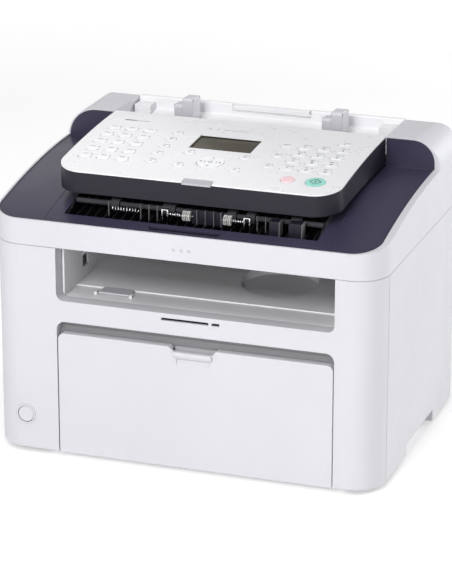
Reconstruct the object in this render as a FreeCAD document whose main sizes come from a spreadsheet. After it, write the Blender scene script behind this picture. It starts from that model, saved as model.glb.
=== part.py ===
"""Fax machine with a laser print engine: lower unit, hinged upper unit, hinged operation panel.

Millimetres. X runs along the width, Y from the front to the rear, Z up. The origin is on the
floor, in the middle of the width and of the overall depth.
"""
import FreeCAD
import Part
import Sketcher
import math
import os

Vector = FreeCAD.Vector
Rotation = FreeCAD.Rotation

doc = FreeCAD.newDocument("fax_machine")
sheet = doc.addObject("Spreadsheet::Sheet", "Sheet")


# ---------------------------------------------------------------- sizes on the sheet

class Size:
    """A length that is both a number and the same sum written on the sheet's cells."""

    def __init__(self, number, text):
        self.number = number
        self.text = text

    def joined(self, other, sign, number):
        return Size(number, "(%s %s %s)" % (self.text, sign, other.text))

    def __add__(self, other):
        other = as_size(other)
        return self.joined(other, "+", self.number + other.number)

    def __sub__(self, other):
        other = as_size(other)
        return self.joined(other, "-", self.number - other.number)

    def __mul__(self, other):
        other = as_size(other)
        return self.joined(other, "*", self.number * other.number)

    def __truediv__(self, other):
        other = as_size(other)
        return self.joined(other, "/", self.number / other.number)

    def __radd__(self, other):
        return as_size(other) + self

    def __rsub__(self, other):
        return as_size(other) - self

    def __rmul__(self, other):
        return as_size(other) * self

    def __neg__(self):
        return as_size(0) - self


def as_size(value):
    """A plain number as a Size, so that numbers and cells mix freely."""
    if isinstance(value, Size):
        return value
    return Size(float(value), "(%.4f)" % value)


def driving(alias, number, note):
    """One driving dimension: a row of the sheet with a note, a number and an alias."""
    row = driving.row
    driving.row = row + 1
    sheet.set("A%d" % row, note)
    sheet.set("B%d" % row, str(number))
    sheet.setAlias("B%d" % row, alias)
    return Size(float(number), "Sheet." + alias)


driving.row = 1

width = driving("width", 372, "overall width")
front_reach = driving("front_reach", 142, "front face ahead of the origin")
rear_reach = driving("rear_reach", 122, "rear panel behind the origin")
rear_bulge = driving("rear_bulge", 145, "outermost face of the rear access door")
foot_height = driving("foot_height", 4, "height of the rubber feet")
front_round = driving("front_round", 29, "plan radius of the front corners")
rear_round = driving("rear_round", 14, "plan radius of the rear corners")
wall = driving("wall", 3, "thickness of the lower covers")
rim_left = driving("rim_left", 1.8, "thickness of the upper cover's left wall")
rim_right = driving("rim_right", 6, "thickness of the upper cover's right wall")
front_rim = driving("front_rim", 1.6, "thickness of the upper cover's front wall")
lid_round = driving("lid_round", 25, "inner plan radius of the upper cover's front corners")
side_seam = driving("side_seam", 115, "seam of front and side covers ahead of the origin")
split_height = driving("split_height", 203, "parting line of lower and upper unit")
split_gap = driving("split_gap", 0.4, "gap at the parting line")
band_height = driving("band_height", 227, "front edge of the upper cover")
deck_rise = driving("deck_rise", 245.1, "height of the deck half way back")
deck_half_way = driving("deck_half_way", 45, "where that height is, ahead of the origin")
hump_foot = driving("hump_foot", 251.5, "height of the deck at the hump")
hump_face = driving("hump_face", 52, "front face of the hump behind the origin")
hump_crest = driving("hump_crest", 280, "top of the hump at its face")
hump_back = driving("hump_back", 278.6, "top of the hump at the rear")
hump_round = driving("hump_round", 30, "radius of the hump's upper corners")
face_round_left = driving("face_round_left", 27, "radius of the dark face's upper left corner")
face_round_right = driving("face_round_right", 21, "radius of the dark face's upper right corner")
bay_left = driving("bay_left", 121, "left edge of the front openings, from the middle")
bay_right = driving("bay_right", 144, "right edge of the front openings, from the middle")
bay_sill = driving("bay_sill", 153, "sill of the paper output bay")
recess_head = driving("recess_head", 133, "head of the tray door recess")
door_top = driving("door_top", 121.5, "top edge of the tray door")
door_foot = driving("door_foot", 4.3, "bottom edge of the tray door")
door_gap = driving("door_gap", 0.8, "side gap of the tray door")
panel_left = driving("panel_left", 136, "left side of the operation panel, from the middle")
panel_right = driving("panel_right", 133, "right side of the operation panel, from the middle")
panel_front = driving("panel_front", 108, "front edge of the operation panel")
panel_round = driving("panel_round", 25, "plan radius of the panel's front corners")
panel_low = driving("panel_low", 267.3, "top of the panel at its front edge")
panel_mid = driving("panel_mid", 276.3, "top of the panel 30 mm ahead of the origin")
panel_sole = driving("panel_sole", 246.5, "underside of the panel at its front edge")
panel_belly = driving("panel_belly", 252, "underside of the panel 30 mm ahead of the origin")
panel_heel = driving("panel_heel", 253, "underside of the panel at its rear edge")
panel_skin = driving("panel_skin", 1.4, "thickness of the panel's white cover")
key_proud = driving("key_proud", 0.7, "how far the keys stand out of the panel")
key_gap = driving("key_gap", 0.35, "gap round each key")
tray_plate = driving("tray_plate", 2.5, "thickness of trays and guides")
frame_sheet = driving("frame_sheet", 1.5, "thickness of the steel side frames")
frame_left = driving("frame_left", 128, "outer face of the left side frame")
frame_right = driving("frame_right", 150, "inner face of the right side frame")
socket_depth = driving("socket_depth", 15.6, "depth of the sockets inside the rear panel")
shaft = driving("shaft", 3, "radius of the roller shafts")
fit = driving("fit", 0.05, "radial play of a shaft in its bore")
gear_gap = driving("gear_gap", 0.3, "play between the tips of meshing gears")
doc.recompute()

half = width / 2
front = -front_reach
rear = rear_reach
seam = -side_seam
upper_floor = split_height + split_gap
cheek_left = -panel_left - 0.5
cheek_right = panel_right + 0.5
panel_edge = -panel_front


# ---------------------------------------------------------------- building blocks

def bind(thing, prop, size):
    thing.setExpression(prop, as_size(size).text)


def place(thing, x, y, z):
    bind(thing, "Placement.Base.x", x)
    bind(thing, "Placement.Base.y", y)
    bind(thing, "Placement.Base.z", z)


def box(name, x0, x1, y0, y1, z0, z1):
    """A box between two corners."""
    solid = doc.addObject("Part::Box", name)
    bind(solid, "Length", x1 - as_size(x0))
    bind(solid, "Width", y1 - as_size(y0))
    bind(solid, "Height", z1 - as_size(z0))
    place(solid, x0, y0, z0)
    return solid


def rod_x(name, x0, x1, y, z, radius):
    """A cylinder along X."""
    solid = doc.addObject("Part::Cylinder", name)
    solid.Placement.Rotation = Rotation(Vector(0, 1, 0), 90)
    bind(solid, "Radius", radius)
    bind(solid, "Height", x1 - as_size(x0))
    place(solid, x0, y, z)
    return solid


def rod_y(name, x, y0, y1, z, radius):
    """A cylinder along Y."""
    solid = doc.addObject("Part::Cylinder", name)
    solid.Placement.Rotation = Rotation(Vector(1, 0, 0), -90)
    bind(solid, "Radius", radius)
    bind(solid, "Height", y1 - as_size(y0))
    place(solid, x, y0, z)
    return solid


def rod_z(name, x, y, z0, z1, radius):
    """A cylinder along Z."""
    solid = doc.addObject("Part::Cylinder", name)
    bind(solid, "Radius", radius)
    bind(solid, "Height", z1 - as_size(z0))
    place(solid, x, y, z0)
    return solid


def join(name, *solids):
    """Several solids as one."""
    union = doc.addObject("Part::MultiFuse", name)
    union.Shapes = list(solids)
    union.Refine = len(solids) < 20
    return union


def common(name, *solids):
    """What all the solids share."""
    shared = doc.addObject("Part::MultiCommon", name)
    shared.Shapes = list(solids)
    shared.Refine = True
    return shared


def cut(name, base, *tools):
    """The base without the tools."""
    tool = tools[0]
    if len(tools) > 1:
        tool = join(name + "_cutters", *tools)
    rest = doc.addObject("Part::Cut", name)
    rest.Base = base
    rest.Tool = tool
    rest.Refine = True
    return rest


def origin_plane(body, role):
    for feature in body.Origin.OriginFeatures:
        if feature.Role == role:
            return feature


def middle_of_arc(start, via, end):
    """Centre of the circle through three points of a sketch."""
    ax, ay = via.x - start.x, via.y - start.y
    bx, by = end.x - start.x, end.y - start.y
    double = 2 * (ax * by - ay * bx)
    square_a = ax * ax + ay * ay
    square_b = bx * bx + by * by
    across = (by * square_a - ay * square_b) / double
    along = (ax * square_b - bx * square_a) / double
    return Vector(start.x + across, start.y + along, 0)


class Via:
    """A point that the outline passes on a round stretch between its two neighbours."""

    def __init__(self, u, v):
        self.u = as_size(u)
        self.v = as_size(v)


def pin_end(sketch, geometry, end, point):
    """Tie one end of a line or arc to its place on the sheet."""
    names = (("DistanceX", point[0]), ("DistanceY", point[1]))
    for kind, size in names:
        number = sketch.addConstraint(
            Sketcher.Constraint(kind, -1, 1, geometry, end, as_size(size).number))
        sketch.setExpression("Constraints[%d]" % number, as_size(size).text)


def draw(sketch, outline):
    """Lines and arcs through the outline's corners; every corner is tied to the sheet."""
    corners = [number for number, item in enumerate(outline) if not isinstance(item, Via)]
    ends = []
    for turn, place_of in enumerate(corners):
        next_place = corners[(turn + 1) % len(corners)]
        here = outline[place_of]
        there = outline[next_place]
        start = Vector(as_size(here[0]).number, as_size(here[1]).number, 0)
        end = Vector(as_size(there[0]).number, as_size(there[1]).number, 0)
        following = outline[(place_of + 1) % len(outline)]
        if not isinstance(following, Via):
            line = sketch.addGeometry(Part.LineSegment(start, end))
            ends.append((line, 1, 2))
            continue
        via = Vector(following.u.number, following.v.number, 0)
        centre = middle_of_arc(start, via, end)
        radius = (start - centre).Length
        turns_left = (via - start).cross(end - start).z > 0
        first, last = (start, end) if turns_left else (end, start)
        begin = math.atan2(first.y - centre.y, first.x - centre.x)
        finish = math.atan2(last.y - centre.y, last.x - centre.x)
        circle = Part.Circle(centre, Vector(0, 0, 1), radius)
        arc = sketch.addGeometry(Part.ArcOfCircle(circle, begin, finish))
        sketch.addConstraint(Sketcher.Constraint("Radius", arc, radius))
        ends.append((arc, 1, 2) if turns_left else (arc, 2, 1))
    for turn, place_of in enumerate(corners):
        geometry, start_end, _ = ends[turn]
        before, _, last_end = ends[turn - 1]
        sketch.addConstraint(Sketcher.Constraint("Coincident", before, last_end, geometry, start_end))
        pin_end(sketch, geometry, start_end, outline[place_of])


PLANES = {
    "XY": ("XY_Plane", 1, 0, 1, 2),
    "XZ": ("XZ_Plane", -1, 0, 2, 1),
    "YZ": ("YZ_Plane", 1, 1, 2, 0),
}


def upright_edges(shape, plane, corner):
    """Names of the edges that stand on the sketch at one of its corners."""
    _, _, first, second, along = PLANES[plane]
    names = []
    for number, edge in enumerate(shape.Edges, start=1):
        one, two = edge.Vertexes[0].Point, edge.Vertexes[-1].Point
        apart = abs(one[along] - two[along])
        near = max(abs(end[first] - corner[0]) + abs(end[second] - corner[1]) for end in (one, two))
        if apart > 0.01 and near < 0.001:
            names.append("Edge%d" % number)
    return names


def slab(name, plane, outline, start, end):
    """A body: an outline on one origin plane, padded from start to end, its corners rounded.

    An outline's corner is (u, v) or (u, v, radius).
    """
    role, way, _, _, _ = PLANES[plane]
    body = doc.addObject("PartDesign::Body", name)
    sketch = body.newObject("Sketcher::SketchObject", name + "_sketch")
    sketch.AttachmentSupport = [(origin_plane(body, role), "")]
    sketch.MapMode = "FlatFace"
    near_side = as_size(start) if way > 0 else -as_size(end)
    bind(sketch, "AttachmentOffset.Base.z", near_side)
    draw(sketch, outline)
    pad = body.newObject("PartDesign::Pad", name + "_pad")
    pad.Profile = sketch
    bind(pad, "Length", end - as_size(start))
    doc.recompute()
    rounded = {}
    for item in outline:
        if not isinstance(item, Via) and len(item) > 2:
            rounded.setdefault(as_size(item[2]).text, []).append(item)
    for turn, items in enumerate(rounded.values()):
        edges = []
        last = body.Tip
        for item in items:
            corner = (as_size(item[0]).number, as_size(item[1]).number)
            edges += upright_edges(last.Shape, plane, corner)
        fillet = body.newObject("PartDesign::Fillet", "%s_round_%d" % (name, turn))
        fillet.Base = (last, edges)
        bind(fillet, "Radius", items[0][2])
        doc.recompute()
    return body


def soften(name, solid, radius, chosen):
    """The solid with its chosen edges rounded."""
    doc.recompute()
    fillet = doc.addObject("Part::Fillet", name)
    fillet.Base = solid
    fillet.Edges = [(number, radius, radius)
                    for number, edge in enumerate(solid.Shape.Edges, start=1) if chosen(edge)]
    return fillet


def pill(name, x, y, length, breadth, z0, z1):
    """An upright key with half-round ends."""
    reach = (as_size(length) - breadth) / 2
    x = as_size(x)
    y = as_size(y)
    bar = box(name + "_bar", x - reach, x + reach, y - breadth / 2, y + breadth / 2, z0, z1)
    left = rod_z(name + "_left", x - reach, y, z0, z1, as_size(breadth) / 2)
    right = rod_z(name + "_right", x + reach, y, z0, z1, as_size(breadth) / 2)
    return join(name, bar, left, right)


nodes = []


def node(solid, label):
    """Make a solid one of the machine's pieces."""
    solid.Label = label
    nodes.append(solid)
    return solid


# ---------------------------------------------------------------- lower covers

def plan(inset):
    """The machine's rounded plan outline, moved in from the outside by inset."""
    side = half - inset
    front_corner = front_round - inset
    rear_corner = rear_round - inset
    return [
        (-side, front + inset, front_corner),
        (side, front + inset, front_corner),
        (side, rear - inset, rear_corner),
        (-side, rear - inset, rear_corner),
    ]


shell_outside = slab("shell_outside", "XY", plan(as_size(0)), foot_height, split_height)
shell_inside = slab("shell_inside", "XY", plan(wall), 0, split_height + 1)
shell_softened = soften("shell_softened", shell_outside, 2.4,
                        lambda edge: edge.BoundBox.ZMax < foot_height.number + 0.01)
shell = cut("shell", shell_softened, shell_inside)
sill_depth = as_size(15)
surround_back = front + sill_depth
button_x = as_size(-153.4)
button_z = as_size(37.8)
door_axis_y = front + 6
door_axis_z = as_size(10)


def build_front_cover():
    zone = box("front_zone", -half - 1, half + 1, front - 1, seam, 0, split_height)
    skin = common("front_skin", shell, zone)
    surround = box("front_surround", -bay_left - wall, bay_right + wall,
                   front, surround_back, foot_height, split_height)
    ring = rod_y("button_ring", button_x, front - 0.8, front + 2, button_z, 9.6)
    window = slab("output_window", "XZ",
                  [(-bay_left, bay_sill, 7), (bay_right, bay_sill, 7),
                   (bay_right, split_height + 5), (-bay_left, split_height + 5)],
                  front - 1, surround_back + 1)
    recess = slab("door_recess", "XZ",
                  [(-bay_left, 0), (bay_right, 0), (bay_right, recess_head, 8), (-bay_left, recess_head, 8)],
                  front - 1, surround_back + 1)
    behind_strip = box("behind_strip", -bay_left, bay_right, front + wall, surround_back + 1,
                       recess_head + tray_plate, bay_sill - tray_plate)
    long_slit = box("long_slit", -19, 26, front - 1, front + wall + 1, 146, 148.6)
    short_slit = box("short_slit", 29.2, 36.5, front - 1, front + wall + 1, 146, 148.6)
    button_hole = rod_y("button_hole", button_x, front - 2, front + wall + 1, button_z, 8)
    pin_way = rod_x("door_pin_way", -bay_left - 5, bay_right + 5, door_axis_y, door_axis_z, 3.2)
    cover = join("front_cover_whole", skin, surround, ring)
    opened = cut("front_cover_open", cover, window, recess, behind_strip, long_slit, short_slit,
                 button_hole, pin_way)
    apron = box("front_apron", -bay_left - 1, bay_right + 1, front + 10, front + 12, 108, recess_head + 1)
    node(join("front_cover_solid", opened, apron), "front_cover")


build_front_cover()


def side_strip(name, x0, x1):
    zone = box(name + "_zone", x0, x1, seam + 0.8, rear - rear_round, 0, split_height)
    return common(name + "_skin", shell, zone)


lift_front = as_size(-48)
lift_back = as_size(45)
lift_top = foot_height + 12
lift_wall = half - 15


def build_side_covers():
    """Left cover with vents and speaker slots; right cover with the lined lifting notch."""
    left = side_strip("left_side", -half - 1, -half + wall + 1)
    slots = []
    for turn in range(9):
        low = as_size(120 + 6 * turn)
        slots.append(box("left_vent_%d" % turn, -half - 1, -half + wall + 1, 48, 92, low, low + 3))
    for turn in range(5):
        low = as_size(48 + 6 * turn)
        slots.append(box("speaker_slot_%d" % turn, -half - 1, -half + wall + 1, 58, 82, low, low + 2.4))
    node(cut("left_side_open", left, *slots), "left_side_cover")
    right = side_strip("right_side", half - wall - 1, half + 1)
    lining = box("lift_lining", lift_wall, half - 1, lift_front - 2, lift_back + 2, foot_height, lift_top + 2)
    lift = box("right_lift", lift_wall + 2, half + 1, lift_front, lift_back, 0, lift_top)
    node(cut("right_side_open", join("right_side_lined", right, lining), lift), "right_side_cover")


build_side_covers()

lid_axis_y = rear + 2
lid_axis_z = split_height + 0.2
knuckle = as_size(4)
lid_pin = as_size(1.5)
lid_hinges = ((-160, -152, -144), (144, 152, 160))
rear_door_half = as_size(111)
rear_door_low = as_size(15)
rear_door_high = as_size(195)
rear_axis_y = rear + 3
rear_axis_z = as_size(20)


def knuckle_pair(name, x0, x1, arm_low, arm_high):
    """A hinge knuckle with its arm to the wall in front of it."""
    barrel = rod_x(name + "_barrel", x0, x1, lid_axis_y, lid_axis_z, knuckle)
    arm = box(name + "_arm", x0, x1, rear - wall, lid_axis_y, arm_low, arm_high)
    return [barrel, arm]


SCREW_PLACES = ((-150, 30), (-150, 110), (-150, 180), (168, 30), (168, 110), (168, 180))


def build_rear_panel():
    zone = box("rear_zone", -half - 1, half + 1, rear - rear_round + 0.4, rear + 1, 0, split_height)
    skin = common("rear_skin", shell, zone)
    doorway = box("rear_doorway", -rear_door_half - 1, rear_door_half + 1, rear - wall - 1, rear + 1,
                  rear_door_low - 1, rear_door_high + 1)
    inlet = box("inlet_way", 125, 153, rear - wall - 1, rear + 1, 24, 46)
    jacks = box("jack_way", 115, 155, rear - wall - 1, rear + 1, 68, 84)
    port = box("port_way", 135, 149, rear - wall - 1, rear + 1, 106, 119)
    opened = [doorway, inlet, jacks, port]
    for turn in range(7):
        low = as_size(130 + 7 * turn)
        opened.append(box("rear_vent_%d" % turn, -172, -124, rear - wall - 1, rear + 1, low, low + 3))
    for x, z in SCREW_PLACES:
        opened.append(rod_y("rear_screw_way_%d_%d" % (x, z), x, rear - wall - 1, rear + 1, z, 1.5 + fit))
    walls = cut("rear_walls", skin, *opened)
    lugs = []
    notches = []
    for low, middle, high in lid_hinges:
        lugs += knuckle_pair("lower_knuckle_%d" % middle, low, middle - 0.3, split_height - 4, split_height - 0.2)
        notches.append(box("upper_knuckle_way_%d" % middle, middle - 0.3, high + 0.5,
                           rear - wall - 1, rear + 8, lid_axis_z - knuckle - 0.5, split_height + 8))
    for side in (-1, 1):
        inner = side * rear_door_half + side * 0.6
        outer = inner + side * 5
        x0, x1 = (inner, outer) if side > 0 else (outer, inner)
        lugs.append(box("rear_lug_%d" % side, x0, x1, rear - 1, rear_axis_y + 3,
                        rear_axis_z - 4, rear_axis_z + 4))
    solid = join("rear_solid", walls, *lugs)
    bores = [rod_x("lid_bore", -half, half, lid_axis_y, lid_axis_z, lid_pin + fit),
             rod_x("rear_door_bore", -rear_door_half - 4, rear_door_half + 4, rear_axis_y, rear_axis_z, 2 + fit)]
    node(cut("rear_panel_solid", solid, *(notches + bores)), "rear_panel")


build_rear_panel()


def build_rear_door():
    """Bulged door over the fixing unit, hinged at its foot."""
    shape = [(rear - wall, rear_door_low), (rear + 6, rear_door_low, 3), (rear_bulge, 42, 8),
             (rear_bulge, 150, 8), (rear + 6, rear_door_high, 3), (rear - wall, rear_door_high)]
    skin = as_size(2.5)
    hollow = [(rear - wall - 1, rear_door_low + skin), (rear + 4.5, rear_door_low + skin),
              (rear_bulge - skin, 43), (rear_bulge - skin, 149),
              (rear + 5, rear_door_high - skin), (rear - wall - 1, rear_door_high - skin)]
    outside = slab("rear_door_outside", "YZ", shape, -rear_door_half, rear_door_half)
    inside = slab("rear_door_inside", "YZ", hollow, -rear_door_half + skin, rear_door_half - skin)
    grips = []
    for turn in range(3):
        low = as_size(168 + 6 * turn)
        face = rear_bulge - (low - 150) * (17 / 45)
        grips.append(box("rear_grip_%d" % turn, -24, 24, face - 2.4, face + 0.6, low, low + 1.8))
    pins = []
    for side in (-1, 1):
        inner = side * rear_door_half - side * 1
        outer = side * rear_door_half + side * 4
        x0, x1 = (inner, outer) if side > 0 else (outer, inner)
        pins.append(rod_x("rear_door_pin_%d" % side, x0, x1, rear_axis_y, rear_axis_z, 2))
    hollowed = cut("rear_door_hollow", outside, inside)
    node(join("rear_door_solid", hollowed, *(grips + pins)), "rear_access_door")


build_rear_door()


def build_screws():
    screws = []
    for x, z in SCREW_PLACES:
        head = rod_y("screw_head_%d_%d" % (x, z), x, rear, rear + 1.6, z, 3.2)
        shank = rod_y("screw_shank_%d_%d" % (x, z), x, rear - 8, rear + 0.5, z, 1.5)
        slot = box("screw_slot_%d_%d" % (x, z), as_size(x) - 2.4, as_size(x) + 2.4,
                   rear + 0.9, rear + 2, as_size(z) - 0.4, as_size(z) + 0.4)
        screws.append(cut("screw_%d_%d" % (x, z), join("screw_whole_%d_%d" % (x, z), head, shank), slot))
    group = doc.addObject("Part::Compound", "screws")
    group.Links = screws
    node(group, "case_screws")


build_screws()

FOOT_PLACES = ((-150, -105), (150, -105), (-150, 95), (150, 95))


def build_base():
    left = wall + 0.4 - half
    right = lift_wall - 0.4
    floor = slab("base_floor", "XY",
                 [(left, front + 16, 12), (right, front + 16, 4),
                  (right, rear - wall - 0.5, 4), (left, rear - wall - 0.5, 10.5)],
                 foot_height, foot_height + 4)
    pieces = [floor]
    for name, x0, x1 in (("left", -bay_left - 9, -bay_left - wall - 0.3),
                         ("right", bay_right + wall + 0.3, bay_right + 9)):
        pieces.append(box("door_lug_" + name, x0, x1, front + wall + 0.5, front + 18, foot_height, 16))
    for turn in range(4):
        y = as_size(-90 + 50 * turn)
        pieces.append(box("base_rib_%d" % turn, -118, 140, y, y + 2, foot_height + 3, foot_height + 8))
    bore = rod_x("door_bore", -bay_left - 8, bay_right + 8, door_axis_y, door_axis_z, 2 + fit)
    node(cut("base_solid", join("base_whole", *pieces), bore), "base_frame")
    feet = doc.addObject("Part::Compound", "feet")
    links = []
    for turn, (x, y) in enumerate(FOOT_PLACES):
        foot = doc.addObject("Part::Cone", "foot_%d" % turn)
        bind(foot, "Radius1", 8)
        bind(foot, "Radius2", 9.5)
        bind(foot, "Height", foot_height)
        place(foot, x, y, 0)
        links.append(foot)
    feet.Links = links
    node(feet, "rubber_feet")


build_base()


def build_tray_door():
    """Front door over the paper tray; it folds down on pins at its foot."""
    left = -bay_left + door_gap
    right = bay_right - door_gap
    face = slab("door_face", "XZ",
                [(left, door_foot, 2), (right, door_foot, 2), (right, door_top, 6), (left, door_top, 6)],
                front, front + wall)
    soft_face = soften("door_soft_face", face, 0.8, lambda edge: edge.BoundBox.YMax < front.number + 0.01)
    edge = slab("door_edge", "XZ",
                [(left, door_foot, 2), (right, door_foot, 2), (right, door_top, 6), (left, door_top, 6)],
                front + wall - 0.5, front + 8)
    hollow = slab("door_hollow", "XZ",
                  [(left + tray_plate, door_foot + tray_plate + 4), (right - tray_plate, door_foot + tray_plate + 4),
                   (right - tray_plate, door_top - tray_plate, 4), (left + tray_plate, door_top - tray_plate, 4)],
                  front + wall, front + 9)
    handle_left = as_size(-7.6)
    handle_right = as_size(29.7)
    notch_foot = door_top - 4
    notch = slab("door_notch", "XZ",
                 [(handle_left - 6, door_top + 1), (handle_left, notch_foot), (handle_right, notch_foot),
                  (handle_right + 4, door_top + 1)], front - 1, front + 9)
    roll = slab("door_roll", "YZ",
                [(front + 3, notch_foot - 6), (front - 1.4, notch_foot - 6, 0.8), (front - 3, notch_foot - 3.2, 1.4),
                 (front - 3, notch_foot - 1.4, 1.2), (front - 1.8, notch_foot, 0.6), (front + 3, notch_foot)],
                handle_left, handle_right)
    roll_view = slab("door_roll_view", "XZ",
                     [(handle_left, notch_foot - 6, 2), (handle_right, notch_foot - 6, 2.6),
                      (handle_right, notch_foot, 2.6), (handle_left, notch_foot, 0.8)], front - 4, front + 4)
    scoop = slab("door_scoop", "YZ",
                 [(front - 1, notch_foot - 6), (front + 1.6, notch_foot - 7), (front - 1, notch_foot - 16)],
                 handle_left + 3, handle_right - 3)
    pins = [rod_x("door_pin_left", -bay_left - 8, left + 4, door_axis_y, door_axis_z, 2),
            rod_x("door_pin_right", right - 4, bay_right + 8, door_axis_y, door_axis_z, 2)]
    rim_piece = cut("door_rim", edge, hollow)
    plate = cut("door_plate", join("door_shell", soft_face, rim_piece), scoop, notch)
    node(join("door_solid", plate, common("door_lip", roll, roll_view), *pins), "tray_door")


build_tray_door()


# ---------------------------------------------------------------- paper tray and output tray

paper_middle = (bay_right - bay_left) / 2


def build_feed_tray():
    """Tray floor behind the door, with side walls and the separation ramp at its rear."""
    floor = box("feed_floor", -bay_left + 3, bay_right - 3, front + 16, 46, 14, 16.5)
    left = box("feed_left", -bay_left + 3, -bay_left + 5, front + 16, 46, 14, 32)
    right = box("feed_right", bay_right - 5, bay_right - 3, front + 16, 46, 14, 32)
    ramp = slab("feed_ramp", "YZ", [(36, 15), (46, 15), (46, 42), (43, 42)], -30, 53)
    legs = box("feed_legs", -bay_left + 3, bay_right - 3, 40, 46, foot_height + 4, 15)
    node(join("feed_solid", floor, left, right, ramp, legs), "feed_tray")


build_feed_tray()

guide_reach = as_size(106)


def build_paper_guides():
    for name, side in (("left", -1), ("right", 1)):
        inner = paper_middle + side * guide_reach
        outer = inner + side * 3
        toe = inner - side * 12
        x0, x1 = (inner, outer) if side > 0 else (outer, inner)
        upright = box("guide_wall_" + name, x0, x1, -88, 8, 17, 40)
        x0, x1 = (toe, outer) if side > 0 else (outer, toe)
        foot = box("guide_foot_" + name, x0, x1, -70, -30, 17, 18.4)
        node(join("paper_guide_solid_" + name, upright, foot), "paper_guide_" + name)


build_paper_guides()


def build_lift_plate():
    plate = box("lift_sheet", -60, 83, -116, 30, 19.2, 20.7)
    barrel = rod_x("lift_barrel", -60, 83, -116, 19.8, 1.6)
    pad = box("lift_pad", 0, 24, 12, 29, 20.2, 21.4)
    node(join("lift_solid", plate, barrel, pad), "lift_plate")


build_lift_plate()

tray_rear = as_size(60)
dish_x = as_size(59.5)
dish_y = as_size(-37.5)
dish_radius = as_size(36)
stopper_axis_y = as_size(-112.4)


def build_output_tray():
    """Sloped tray of the output bay with side walls and a finger dish."""
    left = -bay_left + 0.3
    right = bay_right - 0.3
    start = surround_back + 0.3
    step = start + 30
    top = [(start, bay_sill), (step, bay_sill + 0.2), (step, bay_sill + 1.4),
           Via(-20, bay_sill + 7.5), (tray_rear, bay_sill + 31)]
    under = [(tray_rear, bay_sill + 28.5), Via(-20, bay_sill + 5), (step, bay_sill - 1.2), (start, bay_sill - 2.5)]
    floor = slab("output_floor", "YZ", top + under, left, right)
    below = slab("output_below", "YZ",
                 top + [(tray_rear, bay_sill - 12), (start, bay_sill - 12)], left, right)
    cup = rod_z("dish_outside", dish_x, dish_y, bay_sill - 3, bay_sill + 20, dish_radius + 2)
    cup_wall = common("dish_wall", cup, below)
    dish = rod_z("dish_inside", dish_x, dish_y, bay_sill - 0.5, bay_sill + 40, dish_radius)
    side_walls = []
    for name, x0, x1 in (("left", left, left + 2), ("right", right - 2, right)):
        side_walls.append(box("output_wall_" + name, x0, x1, start, tray_rear, bay_sill - 2.5, split_height - 1))
    notch = box("output_notch", left - 1, left + 3, -82, -68, 166, 182)
    lugs = []
    for turn, x in enumerate((-94.2, -60)):
        lugs.append(box("stopper_lug_%d" % turn, x, as_size(x) + 2.6, stopper_axis_y - 3, stopper_axis_y + 3,
                        bay_sill - 1, bay_sill + 3))
    stopper_bore = rod_x("stopper_bore", -95, -57, stopper_axis_y, bay_sill + 1.5, 1 + fit)
    whole = join("output_whole", floor, cup_wall, *(side_walls + lugs))
    node(cut("output_solid", whole, dish, notch, stopper_bore), "output_tray")


build_output_tray()


def build_stopper():
    """Small flap that swings up at the front of the output tray."""
    leaf = slab("stopper_leaf", "XY",
                [(-91, stopper_axis_y - 0.8, 0.6), (-60.6, stopper_axis_y - 0.8, 0.6),
                 (-60.6, stopper_axis_y + 15, 4), (-91, stopper_axis_y + 15, 4)],
                bay_sill + 0.6, bay_sill + 2.4)
    pin = rod_x("stopper_pin", -93.9, -57.7, stopper_axis_y, bay_sill + 1.5, 1)
    node(join("stopper_solid", leaf, pin), "paper_stopper")


build_stopper()


# ---------------------------------------------------------------- print engine

pickup_axis = (20, 62)
registration_axis = (62, 58)
drum_axis = (48, 100)
transfer_axis = (68.6, 100)
heat_axis = (66, 141)
pressure_axis = (90.6, 141)
delivery_axis = (72, 186)
pinion_axis = (-20, 60)
pinion_radius = as_size(6)
drum_radius = as_size(12)
fixing_radius = as_size(12)
gear_outer = -frame_left - 7
gear_inner = -frame_left - 1.5
TEETH_PER_MM = 0.75


def spacing(one, other):
    """Distance of two shafts."""
    return math.hypot(one[0] - other[0], one[1] - other[1])


pickup_gear = spacing(pinion_axis, pickup_axis) - pinion_radius - gear_gap
registration_gear = spacing(pickup_axis, registration_axis) - pickup_gear - gear_gap
drum_gear = spacing(pickup_axis, drum_axis) - pickup_gear - gear_gap
transfer_gear = spacing(drum_axis, transfer_axis) - drum_gear - gear_gap
heat_gear = spacing(drum_axis, heat_axis) - drum_gear - gear_gap
delivery_gear = spacing(heat_axis, delivery_axis) - heat_gear - gear_gap


def gear(name, axis, radius):
    """A toothed wheel on the outer side of the left frame."""
    disc = rod_x(name + "_disc", gear_outer, gear_inner, axis[0], axis[1], radius)
    gaps = []
    count = max(10, int(2 * math.pi * radius.number * TEETH_PER_MM / 2))
    for turn in range(count):
        angle = 2 * math.pi * turn / count
        y = as_size(axis[0]) + radius * math.cos(angle)
        z = as_size(axis[1]) + radius * math.sin(angle)
        gaps.append(rod_x("%s_gap_%d" % (name, turn), gear_outer - 1, gear_inner + 1, y, z, 0.55))
    return cut(name, disc, *gaps)


def roller(label, axis, sleeves, sleeve_radius, shaft_radius, gear_radius):
    """A shaft through both frames with rubber sleeves and, if driven, its gear."""
    start = gear_outer if gear_radius else -frame_left - 1
    end = frame_right + frame_sheet + 2
    pieces = [rod_x(label + "_shaft", start, end, axis[0], axis[1], shaft_radius)]
    for turn, (x0, x1) in enumerate(sleeves):
        pieces.append(rod_x("%s_sleeve_%d" % (label, turn), x0, x1, axis[0], axis[1], sleeve_radius))
    if gear_radius:
        pieces.append(gear(label + "_gear", axis, gear_radius))
    node(join(label + "_solid", *pieces), label)


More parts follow.
